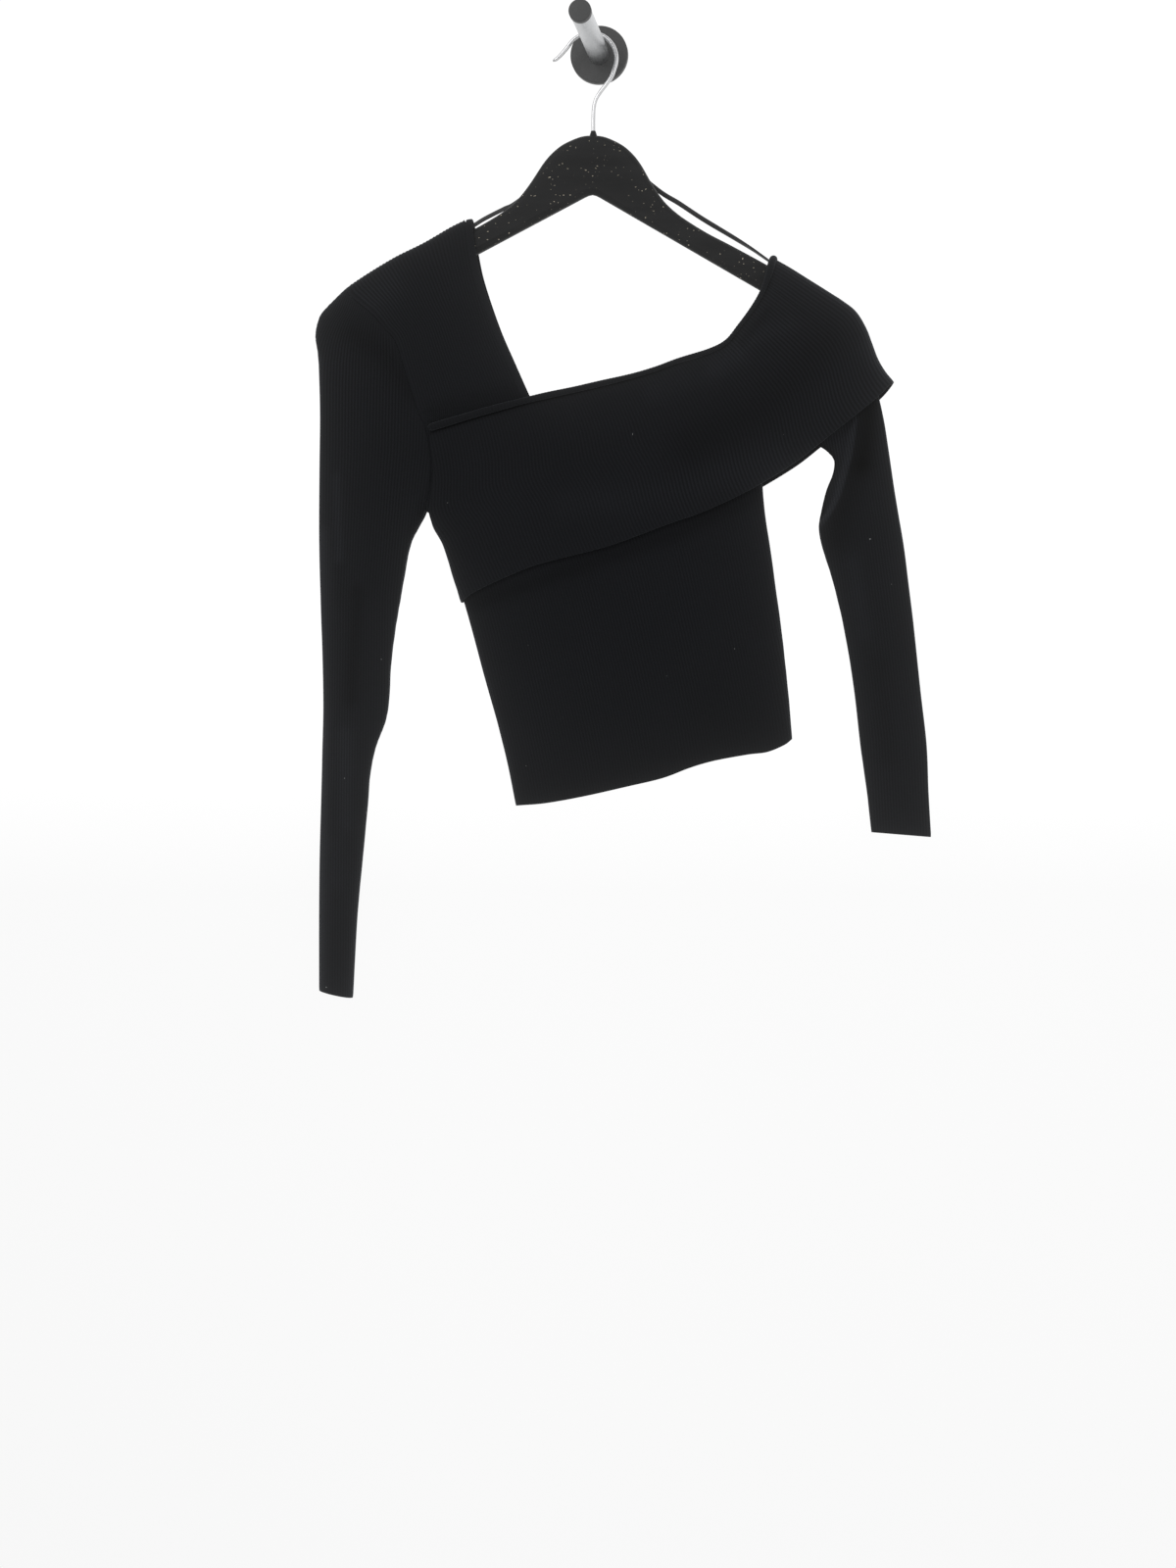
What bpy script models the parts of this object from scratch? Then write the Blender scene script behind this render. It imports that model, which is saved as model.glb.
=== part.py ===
"""A black ribbed off-shoulder sweater on a wooden hanger, hung from a wall peg.

The cloth hangs in a plane parallel to the wall. Tables give the cloth in
millimetres in that plane: across (to the right, from the peg's axis), height
(up, from the peg's axis) and depth (out of the plane, towards the viewer).
"""
import math

import bmesh
import bpy
import numpy as np

MM = 0.001

# Peg
FLANGE_RADIUS = 24.0
FLANGE_THICKNESS = 6.0
ROD_RADIUS = 8.5
ROD_LENGTH = 121.4
CAP_RADIUS = 9.0
CAP_THICKNESS = 6.0

# Hanger
HOOK_FROM_WALL = 28.0
WIRE_RADIUS = 1.75
ARC_CENTRE = (-4.5, -10.0)
ARC_RADIUS = 21.6
STEM_ACROSS = -2.0
HANGER_TOP = -72.0
HANGER_ROLL = math.radians(2.2)
HANGER_THICKNESS = 11.5
HANGER_EDGE_RADIUS = 5.0
HANGER_VEE_DEPTH = 48.5
HANGER_LOWER_SLOPE = 0.545
HANGER_END = (209.7, -155.7)
HANGER_END_RADIUS = 7.2

# Cloth
CLOTH = 1.5
SEAM = 0.3
FOLD_GAP = 0.385
HALF_DEPTH = 8.0
SIDE_ROUND = 10.0
BAND_STEP = 2.2
RIBBON_WIDTH = 4.0
RIBBON_THICKNESS = 0.8
TRIM_WIDTH = 4.6
TRIM_THICKNESS = 2.4

# Distances from a fold at which the cloth beside it is sampled.
SIDE_STEPS = (0.0, 1.0, 3.4, 7.5)
SHOULDER_STEPS = (0.0, 0.66, 2.6, 5.5, 11.0)

# Upper edge of the hanger's right half, from the stem outwards: across, height.
HANGER_UPPER_EDGE = [
    (0.0, 0.0),
    (8.0, -0.8),
    (15.4, -3.2),
    (24.0, -7.4),
    (30.0, -12.0),
    (35.4, -17.6),
    (40.5, -24.5),
    (45.0, -31.8),
    (50.3, -40.0),
    (56.0, -48.0),
    (62.0, -55.2),
    (70.0, -62.3),
    (80.0, -69.3),
    (97.0, -79.0),
    (115.0, -87.2),
    (138.0, -98.3),
    (161.0, -110.7),
    (183.0, -124.3),
    (198.0, -135.5),
]

# Side seams and armholes of the body: height is measured at each point, from the hem up.
# left across, left height, right across, right height, half depth
BODY_SECTIONS = [
    (-65.7, -624.3, 160.8, -569.8, 8.5),
    (-73.0, -588.0, 158.5, -541.0, 9.0),
    (-82.5, -551.0, 155.6, -512.0, 9.5),
    (-93.0, -514.0, 152.0, -480.0, 9.5),
    (-102.0, -481.0, 147.5, -447.0, 9.0),
    (-109.5, -455.0, 143.0, -414.0, 8.5),
    (-119.0, -425.0, 138.5, -384.0, 8.0),
    (-129.0, -397.0, 136.5, -352.0, 8.0),
    (-136.0, -384.0, 141.0, -333.0, 8.0),
]

# Left armhole from the underarm to the shoulder: across, height.
LEFT_ARMHOLE = [
    (-141.4, -380.0),
    (-136.8, -363.0),
    (-136.2, -344.0),
    (-137.6, -326.0),
    (-141.7, -309.0),
    (-147.0, -298.3),
    (-156.5, -269.0),
    (-165.6, -240.8),
    (-175.1, -229.7),
    (-184.6, -218.5),
    (-194.5, -211.0),
    (-202.5, -204.8),
]
LEFT_ARMHOLE_ROWS = (2.0, 8.0, 28.0, 55.0, 83.5)
LEFT_STRAP_ROWS = (0.2, 0.42, 0.64, 0.82, 1.0)

# Right armhole, under the band: across, height.
RIGHT_ARMHOLE = [
    (150.0, -325.0),
    (147.5, -308.0),
    (149.5, -287.0),
    (158.0, -263.0),
    (171.0, -241.0),
    (187.6, -220.6),
]
RIGHT_ARMHOLE_ROWS = (2.0, 8.0, 35.0, 72.0, 1000.0)

# Fold of the cloth over the photo-left arm of the hanger: across, height.
LEFT_RIDGE = [
    (-207.0, -197.6),
    (-189.5, -184.4),
    (-167.0, -171.1),
    (-143.2, -158.7),
    (-120.5, -147.9),
    (-106.5, -142.2),
]

# Neck edge of the left strap, inside the trim: across, height.
LEFT_NECK = [
    (-59.3, -290.5),
    (-72.3, -261.3),
    (-85.3, -231.2),
    (-98.0, -194.0),
    (-103.3, -171.0),
    (-106.3, -150.0),
]

# Rolled edge of the neck, centre line: across, height, radius.
NECK_ROLL = [
    (-138.0, -313.0, 3.2),
    (-97.0, -301.5, 3.1),
    (-53.4, -290.8, 2.8),
    (-12.0, -282.6, 2.5),
    (27.4, -274.4, 2.3),
    (50.0, -268.4, 2.1),
    (70.3, -261.4, 2.0),
    (94.5, -254.5, 1.9),
    (108.5, -246.8, 1.8),
    (118.5, -234.5, 1.8),
    (129.5, -220.0, 1.7),
    (137.8, -206.0, 1.7),
    (143.2, -192.0, 1.7),
]
ROLL_CROSSING = (146.6, -179.0, 1.7)

# Top of the main cloth from the left armhole round the neck to the right armhole:
# fraction of the ribs, across, height.
BODY_TOP = [
    (0.40, -59.3, -290.5),
    (0.48, -22.0, -284.6),
    (0.57, 20.0, -275.9),
    (0.66, 60.0, -265.0),
    (0.74, 94.0, -254.7),
    (0.80, 119.0, -234.0),
    (0.86, 145.7, -191.2),
]
STRAP_SHARE = 0.40
RIGHT_SHARE = 0.86

# Drop of the hem below a straight line from side to side: fraction, drop.
HEM_DROP = [
    (0.0, 0.0),
    (0.1, -3.6),
    (0.24, -5.6),
    (0.40, -6.2),
    (0.53, -6.3),
    (0.63, -3.2),
    (0.72, -2.3),
    (0.84, -3.9),
    (0.91, -5.7),
    (0.97, -3.4),
    (1.0, 0.0),
]

# Band: fold over the right shoulder, from the neck to the tip: across, height.
BAND_RIDGE = [
    (148.6, -181.2),
    (160.0, -187.9),
    (172.0, -195.6),
    (189.0, -206.4),
    (202.0, -215.0),
    (211.7, -224.0),
    (219.0, -237.2),
    (223.6, -249.3),
    (228.6, -262.6),
    (234.6, -273.6),
    (241.0, -281.3),
]

# Band: free lower edge, from the left side to the tip: across, height.
BAND_LOWER = [
    (-111.6, -456.2),
    (-96.2, -446.9),
    (-77.2, -438.2),
    (-50.7, -427.6),
    (-22.2, -420.2),
    (13.4, -411.4),
    (61.7, -394.2),
    (87.3, -385.6),
    (112.9, -374.6),
    (135.8, -363.0),
    (163.8, -346.2),
    (183.0, -331.6),
    (197.3, -320.2),
    (214.4, -307.0),
    (231.2, -293.0),
    (241.0, -281.3),
]

# Band: left edge, down the armhole seam and the side seam: across, height, share of full depth.
BAND_LEFT = [
    (-137.4, -317.4, 1.0),
    (-134.6, -340.0, 1.0),
    (-134.4, -360.0, 1.0),
    (-136.4, -373.0, 1.0),
    (-137.4, -381.6, 0.86),
    (-136.0, -390.5, 0.10),
    (-126.6, -409.0, 0.10),
    (-119.6, -431.0, 0.10),
    (-111.6, -456.2, 0.10),
]

# Sleeves, from the armhole to the cuff.
# outer across, outer height, inner across, inner height, half depth, roundness (0.5 flat, 1 oval),
# share of the armhole's shape
LEFT_SLEEVE = [
    (-218.6, -208.4, -145.0, -386.0, 8.0, 0.5, 0.92),
    (-225.2, -212.6, -147.4, -390.6, 8.0, 0.5, 0.84),
    (-229.4, -218.6, -150.0, -395.5, 8.0, 0.5, 0.75),
    (-232.9, -233.0, -154.8, -405.0, 8.0, 0.5, 0.60),
    (-231.0, -249.0, -158.2, -418.0, 8.0, 0.5, 0.45),
    (-228.8, -271.0, -160.9, -434.0, 8.0, 0.5, 0.32),
    (-229.9, -302.0, -164.6, -455.0, 8.0, 0.5, 0.20),
    (-230.0, -345.0, -168.8, -480.0, 8.5, 0.5, 0.10),
    (-230.0, -400.0, -172.2, -508.0, 9.0, 0.5, 0.0),
    (-228.8, -450.0, -173.4, -532.0, 9.0, 0.55, 0.0),
    (-227.6, -495.0, -176.4, -553.0, 9.5, 0.6, 0.0),
    (-227.2, -543.0, -185.0, -576.0, 10.5, 0.7, 0.0),
    (-228.6, -585.0, -189.6, -598.0, 11.5, 0.8, 0.0),
    (-229.4, -620.0, -191.6, -622.0, 12.5, 0.85, 0.0),
    (-230.6, -662.0, -195.4, -662.0, 13.0, 0.9, 0.0),
    (-231.1, -715.0, -200.6, -716.0, 13.5, 0.9, 0.0),
    (-231.0, -778.1, -204.5, -784.3, 14.0, 0.9, 0.0),
]
RIGHT_SLEEVE = [
    (206.0, -224.6, 163.0, -326.5, 8.0, 0.5, 0.85),
    (214.6, -238.0, 175.0, -328.4, 8.0, 0.5, 0.65),
    (218.5, -252.0, 183.6, -331.0, 8.0, 0.5, 0.45),
    (223.6, -267.0, 190.4, -335.4, 8.0, 0.5, 0.30),
    (230.0, -291.3, 196.6, -343.0, 8.0, 0.5, 0.15),
    (234.2, -311.0, 196.0, -354.0, 8.0, 0.5, 0.0),
    (237.7, -334.0, 190.6, -368.0, 8.0, 0.5, 0.0),
    (242.0, -364.0, 186.6, -385.0, 8.0, 0.5, 0.0),
    (245.8, -388.0, 185.0, -398.0, 8.0, 0.5, 0.0),
    (250.2, -415.0, 188.0, -414.0, 8.0, 0.5, 0.0),
    (254.0, -445.0, 196.6, -442.0, 8.0, 0.5, 0.0),
    (258.6, -482.0, 205.6, -480.0, 8.0, 0.5, 0.0),
    (264.0, -530.0, 214.0, -528.0, 8.0, 0.55, 0.0),
    (269.2, -575.0, 219.2, -576.0, 8.0, 0.6, 0.0),
    (270.6, -613.0, 224.0, -612.0, 8.0, 0.6, 0.0),
    (272.8, -649.4, 227.2, -645.6, 8.0, 0.6, 0.0),
]

# Hanging ribbons, from the neck edge to the foot of the hook: across, height, depth.
LEFT_RIBBON = [
    (-98.2, -142.2, 0.0),
    (-92.0, -138.4, -3.0),
    (-80.0, -131.8, -7.4),
    (-63.5, -121.6, -8.0),
    (-30.0, -97.0, -7.8),
    (-10.0, -77.0, -7.0),
    (-4.0, -69.0, -4.6),
]
RIGHT_RIBBON = [
    (141.4, -174.2, 0.0),
    (128.0, -167.6, -2.6),
    (113.9, -158.8, -6.6),
    (86.6, -141.8, -8.0),
    (50.3, -117.0, -8.0),
    (20.0, -91.0, -7.8),
    (5.0, -76.0, -7.0),
    (1.0, -66.0, -4.8),
]

COLOURS = {
    # name: (red, green, blue), roughness, metallic
    "knit": ((0.012, 0.013, 0.015), 0.9, 0.0),
    "ribbon": ((0.012, 0.012, 0.013), 0.5, 0.0),
    "black_wood": ((0.022, 0.023, 0.024), 0.45, 0.0),
    "chrome": ((0.75, 0.75, 0.76), 0.12, 1.0),
    "aluminium": ((0.62, 0.63, 0.64), 0.3, 1.0),
    "dark_plastic": ((0.06, 0.062, 0.064), 0.5, 0.0),
}


def clear_scene():
    for item in list(bpy.data.objects):
        bpy.data.objects.remove(item, do_unlink=True)


def material(name):
    found = bpy.data.materials.get(name)
    if found:
        return found
    colour, roughness, metallic = COLOURS[name]
    made = bpy.data.materials.new(name)
    made.use_nodes = True
    shader = made.node_tree.nodes["Principled BSDF"]
    shader.inputs["Base Color"].default_value = (*colour, 1.0)
    shader.inputs["Roughness"].default_value = roughness
    shader.inputs["Metallic"].default_value = metallic
    return made


def place(point):
    """Metres in the part's frame, from across, height and depth in millimetres."""
    across, height, depth = point
    return (across * MM, (-HOOK_FROM_WALL - depth) * MM, height * MM)


def add_object(name, mesh, material_name, parent):
    item = bpy.data.objects.new(name, mesh)
    bpy.context.scene.collection.objects.link(item)
    mesh.materials.append(material(material_name))
    mesh.shade_smooth()
    mesh.set_sharp_from_angle(angle=math.radians(35))
    item.parent = parent
    return item


def arc_lengths(points):
    steps = np.linalg.norm(np.diff(points, axis=0), axis=1)
    return np.concatenate([[0.0], np.cumsum(steps)])


def smooth_path(points, per_span=12):
    """A Catmull-Rom curve through the points, as a fine polyline."""
    points = np.asarray(points, float)
    ends = np.vstack([2 * points[0] - points[1], points, 2 * points[-1] - points[-2]])
    rows = []
    for before, start, end, after in zip(ends, ends[1:], ends[2:], ends[3:]):
        for step in range(per_span):
            t = step / per_span
            rows.append(
                0.5
                * (
                    2 * start
                    + (end - before) * t
                    + (2 * before - 5 * start + 4 * end - after) * t**2
                    + (3 * start - before - 3 * end + after) * t**3
                )
            )
    rows.append(points[-1])
    return np.array(rows)


def at_lengths(points, lengths):
    """Points of the smooth curve at these distances along it."""
    path = smooth_path(points)
    along = arc_lengths(path[:, :2])
    lengths = np.clip(lengths, 0.0, along[-1])
    return np.column_stack([np.interp(lengths, along, path[:, k]) for k in range(path.shape[1])])


def at_shares(points, shares):
    total = arc_lengths(smooth_path(points)[:, :2])[-1]
    return at_lengths(points, np.asarray(shares) * total)


def quarter(distance, radius):
    """Rounding of a fold: 0 at the fold, 1 from one radius away."""
    x = np.clip(np.asarray(distance) / radius, 0.0, 1.0)
    return np.sqrt(1.0 - (1.0 - x) ** 2)


def normals_2d(points):
    """Unit normals to the left of a plane curve's direction."""
    along = np.gradient(points, axis=0)
    along /= np.linalg.norm(along, axis=1)[:, None]
    return np.column_stack([-along[:, 1], along[:, 0]])


def grid_faces(rows, columns, start, around):
    faces = []
    last = columns if around else columns - 1
    for row in range(rows - 1):
        for column in range(last):
            beside = (column + 1) % columns
            faces.append(
                (
                    start + row * columns + column,
                    start + row * columns + beside,
                    start + (row + 1) * columns + beside,
                    start + (row + 1) * columns + column,
                )
            )
    return faces


def cloth(name, grids, parent, around=False, thickness=CLOTH):
    """Cloth of one thickness, on grids of points that meet edge to edge."""
    mesh = bpy.data.meshes.new(name)
    points = []
    faces = []
    for grid in grids:
        rows, columns, _ = grid.shape
        faces += grid_faces(rows, columns, len(points), around)
        points += [place(point) for point in grid.reshape(-1, 3)]
    mesh.from_pydata(points, [], faces)
    work = bmesh.new()
    work.from_mesh(mesh)
    bmesh.ops.remove_doubles(work, verts=work.verts, dist=1e-6)
    bmesh.ops.recalc_face_normals(work, faces=work.faces)
    work.to_mesh(mesh)
    work.free()
    item = add_object(name, mesh, "knit", parent)
    wall = item.modifiers.new("wall", "SOLIDIFY")
    wall.thickness = thickness * MM
    wall.offset = 0.0
    wall.use_even_offset = False
    return item


def sweep(name, path, sections, material_name, parent):
    """A closed bar through the path's points, with a section of points at each."""
    sides = sections.shape[1]
    points = [place(point) for section in sections for point in section]
    faces = grid_faces(len(path), sides, 0, True)
    faces.append(tuple(reversed(range(sides))))
    faces.append(tuple(range(len(points) - sides, len(points))))
    mesh = bpy.data.meshes.new(name)
    mesh.from_pydata(points, [], faces)
    work = bmesh.new()
    work.from_mesh(mesh)
    bmesh.ops.recalc_face_normals(work, faces=work.faces)
    work.to_mesh(mesh)
    work.free()
    return add_object(name, mesh, material_name, parent)


def frames_along(path, up):
    """Unit side and up vectors at each point of a path."""
    along = np.gradient(path, axis=0)
    along /= np.linalg.norm(along, axis=1)[:, None]
    side = np.cross(along, up)
    side /= np.linalg.norm(side, axis=1)[:, None]
    return side, np.cross(side, along)


def round_bar(name, path, radii, sides, up, material_name, parent):
    side, above = frames_along(path, up)
    angles = np.arange(sides) * 2 * math.pi / sides
    ring = np.cos(angles)[None, :, None] * side[:, None] + np.sin(angles)[None, :, None] * above[:, None]
    sections = path[:, None] + ring * np.asarray(radii)[:, None, None]
    return sweep(name, path, sections, material_name, parent)


def flat_bar(name, path, width, thickness, up, material_name, parent):
    """A strap: its width lies along the side of the path, its thickness along up."""
    side, above = frames_along(path, up)
    corners = ((-1, -1), (1, -1), (1, 1), (-1, 1))
    sections = np.stack(
        [path + a * side * width / 2 + b * above * thickness / 2 for a, b in corners], axis=1
    )
    return sweep(name, path, sections, material_name, parent)


def ridge_rows(base, outward, radius, sign):
    """Rows that carry cloth from the face of the hanger over to the top of its arm."""
    rows = []
    for angle in (30.0, 60.0, 90.0):
        turn = math.radians(angle)
        depth = max(radius * math.cos(turn), FOLD_GAP)
        plane = base + outward * radius * math.sin(turn)
        rows.append(np.column_stack([plane, np.full(len(plane), sign * depth)]))
    return rows


def body_columns(width):
    """Shares of the width at which the main cloth is sampled: close together at the side folds."""
    left = [step / width for step in SIDE_STEPS] + [0.10, 0.17, 0.25, 0.33]
    middle = [share for share, _, _ in BODY_TOP]
    right = [0.91, 0.95] + [1.0 - step / width for step in reversed(SIDE_STEPS)]
    return np.array(left + middle + right)


def hanger_edge_world(edge):
    """The hanger's own across and height, turned with it and put in the cloth's plane."""
    edge = np.asarray(edge, float)
    turned_x = edge[:, 0] * math.cos(HANGER_ROLL) + edge[:, 1] * math.sin(HANGER_ROLL)
    turned_y = -edge[:, 0] * math.sin(HANGER_ROLL) + edge[:, 1] * math.cos(HANGER_ROLL)
    return np.column_stack([turned_x + STEM_ACROSS, turned_y + HANGER_TOP])


def right_ridge():
    """Fold of the main cloth over the right arm: the arm's upper edge, moved out."""
    edge = hanger_edge_world(smooth_path(HANGER_UPPER_EDGE, per_span=2))
    shown = edge[(edge[:, 0] > 120.0)]
    return shown + normals_2d(shown) * (CLOTH / 2 + 0.9)


def body_panel(name, sign, parent):
    """Front (sign 1) or back (sign -1): main cloth, left strap and right shoulder."""
    left_arm = at_lengths(LEFT_ARMHOLE, LEFT_ARMHOLE_ROWS)
    right_arm = at_lengths(RIGHT_ARMHOLE, RIGHT_ARMHOLE_ROWS)
    sections = [row[:4] + (row[4], 1.0) for row in BODY_SECTIONS]
    sections.append((*LEFT_ARMHOLE[0], *RIGHT_ARMHOLE[0], HALF_DEPTH, 1.0))
    for left, right, rise in zip(left_arm, right_arm, LEFT_ARMHOLE_ROWS):
        open_share = 1.0 - float(quarter(rise, SIDE_ROUND))
        sections.append((*left, *right, HALF_DEPTH, open_share))
    ridge = right_ridge()
    inner_ridge = ridge - normals_2d(ridge) * HALF_DEPTH
    shares = body_columns(np.linalg.norm(right_arm[-1] - left_arm[-1]))
    right_top = np.interp(shares[15:], (RIGHT_SHARE, 1.0), (BODY_TOP[-1][1], right_arm[-1][0]))
    strap_foot = np.array(BODY_TOP[0][1:]) - left_arm[-1]
    top = [left_arm[-1] + strap_foot * share / STRAP_SHARE for share in shares[:8]]
    top += [np.array(row[1:]) for row in BODY_TOP]
    top += [np.array([x, np.interp(x, inner_ridge[:, 0], inner_ridge[:, 1])]) for x in right_top]
    top = np.array(top)
    top[-1] = right_arm[-1]
    rise = top - (top[0] + (top[-1] - top[0]) * shares[:, None])
    grid = []
    count = len(sections)
    for index, (lx, lz, rx, rz, depth, fold) in enumerate(sections):
        height = index / (count - 1)
        left = np.array([lx, lz])
        right = np.array([rx, rz])
        width = np.linalg.norm(right - left)
        shares = body_columns(width)
        plane = left + (right - left) * shares[:, None]
        plane += rise * height**3
        plane[:, 1] += np.interp(shares, *zip(*HEM_DROP)) * (1.0 - height) ** 3
        rounding = 1.0 - fold * (1.0 - quarter(shares * width, SIDE_ROUND))
        rounding *= 1.0 - fold * (1.0 - quarter((1.0 - shares) * width, SIDE_ROUND))
        depths = np.maximum(depth * rounding, FOLD_GAP)
        grid.append(np.column_stack([plane, sign * depths]))
    grid = np.array(grid)
    strap_grid = strap(grid[-1][:9], sign)
    base = grid[-1][14:, :2]
    outward = normals_2d(base)
    shoulder = np.array([grid[-1][14:]] + ridge_rows(base, outward, HALF_DEPTH, sign))
    return cloth(name, [grid, strap_grid, shoulder], parent)


def strap_edge():
    """The strap's neck edge, one point for each of its rows."""
    return at_shares(LEFT_NECK, np.array([0.0, *LEFT_STRAP_ROWS]))


def strap(bottom, sign):
    """The left strap, from the neck's level up to the fold over the hanger's arm."""
    start = arc_lengths(smooth_path(LEFT_ARMHOLE)[:, :2])[-1]
    foot = LEFT_ARMHOLE_ROWS[-1]
    shares = np.array([0.0, *LEFT_STRAP_ROWS])
    left = at_lengths(LEFT_ARMHOLE, foot + (start - foot) * shares)
    right = strap_edge()
    ridge = at_shares(LEFT_RIDGE, np.linspace(0.0, 1.0, len(bottom)))
    outward = normals_2d(ridge)
    top = ridge - outward * HALF_DEPTH
    top[0] = left[-1]
    top[-1] = right[-1]
    across = np.linalg.norm(bottom[:, :2] - bottom[0, :2], axis=1)
    across /= across[-1]
    rows = []
    for index, share in enumerate(shares):
        chord = left[index] + (right[index] - left[index]) * across[:, None]
        low = bottom[:, :2] - (bottom[0, :2] + (bottom[-1, :2] - bottom[0, :2]) * across[:, None])
        high = top - (top[0] + (top[-1] - top[0]) * across[:, None])
        plane = chord + low * (1.0 - share) + high * share
        rows.append(np.column_stack([plane, np.full(len(plane), sign * HALF_DEPTH)]))
    rows[0] = bottom
    rows += ridge_rows(rows[-1][:, :2], outward, HALF_DEPTH, sign)
    return np.array(rows)


def armhole_ring(points, lengths, ridge_base, ridge_outward, offset):
    """The sleeve's first section: the armhole from the shoulder's fold down to the underarm."""
    lengths = np.array([0.0, *lengths])
    rise = quarter(lengths, SIDE_ROUND)
    curve = at_lengths(points, lengths)
    away = np.sign(offset) * (abs(offset) + 1.3 - 1.3 * quarter(lengths, 2 * SIDE_ROUND))
    outward = -normals_2d(curve) * away[:, None]
    depths = HALF_DEPTH * rise
    flat = np.column_stack([curve + outward, depths])[::-1]
    over = []
    for angle in (90.0, 60.0, 30.0):
        turn = math.radians(angle)
        plane = ridge_base + ridge_outward * HALF_DEPTH * math.sin(turn)
        over.append((*plane, HALF_DEPTH * max(math.cos(turn), 0.0)))
    return np.vstack([over, flat])


def sleeve(name, first, table, parent):
    """A tube: each section runs down the front from the outer fold to the inner one, and back."""
    count = len(first)
    turn = np.linspace(0.0, math.pi, count)
    even = (1.0 - np.cos(turn)) / 2
    lengths = arc_lengths(first[:, :2])
    own = lengths / lengths[-1]
    chord = first[0, :2] + (first[-1, :2] - first[0, :2]) * own[:, None]
    bend = first[:, :2] - chord
    own_depth = first[:, 2] / HALF_DEPTH
    rows = [first]
    for ox, oz, ix, iz, depth, roundness, shape in table:
        shares = own * shape + even * (1.0 - shape)
        plane = np.array([ox, oz]) + np.array([ix - ox, iz - oz]) * shares[:, None]
        plane += bend * shape
        profile = own_depth * shape + np.sin(turn) ** roundness * (1.0 - shape)
        rows.append(np.column_stack([plane, depth * profile]))
    front = np.array(rows)
    back = front[:, 1:-1][:, ::-1] * np.array([1.0, 1.0, -1.0])
    return cloth(name, [np.concatenate([front, back], axis=1)], parent, around=True)


def left_sleeve(parent):
    total = arc_lengths(smooth_path(LEFT_ARMHOLE)[:, :2])[-1]
    foot = LEFT_ARMHOLE_ROWS[-1]
    lengths = list(LEFT_ARMHOLE_ROWS) + [foot + (total - foot) * share for share in LEFT_STRAP_ROWS]
    ridge = at_shares(LEFT_RIDGE, [0.0, 0.02])
    base = np.array(LEFT_ARMHOLE[-1]) + np.array([-0.5, -0.3])
    first = armhole_ring(LEFT_ARMHOLE, lengths, base, normals_2d(ridge)[0], -0.85)
    return sleeve("sleeve_left", first, LEFT_SLEEVE, parent)


def right_sleeve(parent):
    ridge = right_ridge()
    outward = normals_2d(ridge)[-1]
    base = np.array(RIGHT_ARMHOLE[-1]) + np.array([0.5, -0.3])
    first = armhole_ring(RIGHT_ARMHOLE, RIGHT_ARMHOLE_ROWS, base, outward, 0.75)
    return sleeve("sleeve_right", first, RIGHT_SLEEVE, parent)


def roll_path():
    """Centre line of the rolled neck edge: front, over the right arm, and back."""
    front = smooth_path(NECK_ROLL, per_span=3)
    reach = HALF_DEPTH + CLOTH / 2 + SEAM + front[:, 2]
    crossing = np.array(ROLL_CROSSING[:2])
    below = np.linalg.norm(front[:, :2] - crossing, axis=1)
    depths = reach * quarter(below, reach)
    top = np.array([[*ROLL_CROSSING[:2], 0.0]])
    between = []
    for angle in (45.0, 70.0):
        turn = math.radians(angle)
        radius = reach[-1]
        towards = (crossing - front[-1, :2]) / np.linalg.norm(crossing - front[-1, :2])
        plane = crossing - towards * radius * (1.0 - math.sin(turn))
        between.append((*plane, radius * math.cos(turn)))
    half = np.vstack([np.column_stack([front[:, :2], depths]), between])
    radii = np.concatenate([front[:, 2], [ROLL_CROSSING[2]] * 2])
    mirrored = half[::-1] * np.array([1.0, 1.0, -1.0])
    path = np.vstack([half, top, mirrored])
    return path, np.concatenate([radii, [ROLL_CROSSING[2]], radii[::-1]])


def neck_roll(parent):
    path, radii = roll_path()
    up = np.array([0.25, -1.0, 0.1])
    return round_bar("neck_roll", path, radii, 7, up, "knit", parent)


def band_columns(width):
    """Shares of the width at which the band is sampled."""
    left = [step / width for step in SIDE_STEPS]
    middle = list(np.linspace(0.09, 0.72, 9)) + [0.77, 0.805, 0.84, 0.88, 0.92]
    right = [1.0 - step / width for step in reversed(SHOULDER_STEPS)]
    return np.array(left + middle + right)


def band(parent):
    """The fold-over band: across the front, round the right shoulder and across the back."""
    ends = arc_lengths(np.array(BAND_LEFT)[:, :2])
    levels = ends / ends[-1]
    roll, radii = roll_path()
    half = len(roll) // 2
    shown = roll[: half - 2, :2]
    drop = normals_2d(shown) * (radii[: half - 2, None] + SEAM + 0.72)
    upper = np.vstack([shown - drop, [BAND_RIDGE[0]]])
    left = np.array(BAND_LEFT)
    right = at_shares(BAND_RIDGE, levels)
    depth = HALF_DEPTH + BAND_STEP
    rows = []
    for index, level in enumerate(levels):
        shares = band_columns(np.linalg.norm(right[index] - left[index, :2]))
        top = at_shares(upper, shares)
        bottom = at_shares(BAND_LOWER, shares)
        chord = left[index, :2] + (right[index] - left[index, :2]) * shares[:, None]
        high = top - (top[0] + (top[-1] - top[0]) * shares[:, None])
        low = bottom - (bottom[0] + (bottom[-1] - bottom[0]) * shares[:, None])
        plane = chord + high * (1.0 - level) + low * level
        along = arc_lengths(plane)
        reach = depth + 2.0 * level**2
        rounding = quarter(along[-1] - along, reach)
        close = 1.0 - quarter(along, SIDE_ROUND + BAND_STEP)
        rounding *= 1.0 - close * (1.0 - left[index, 2])
        rows.append(np.column_stack([plane, reach * rounding]))
    front = np.array(rows)
    back = front[:, :-1][:, ::-1] * np.array([1.0, 1.0, -1.0])
    return cloth("band", [np.concatenate([front, back], axis=1)], parent)


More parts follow.
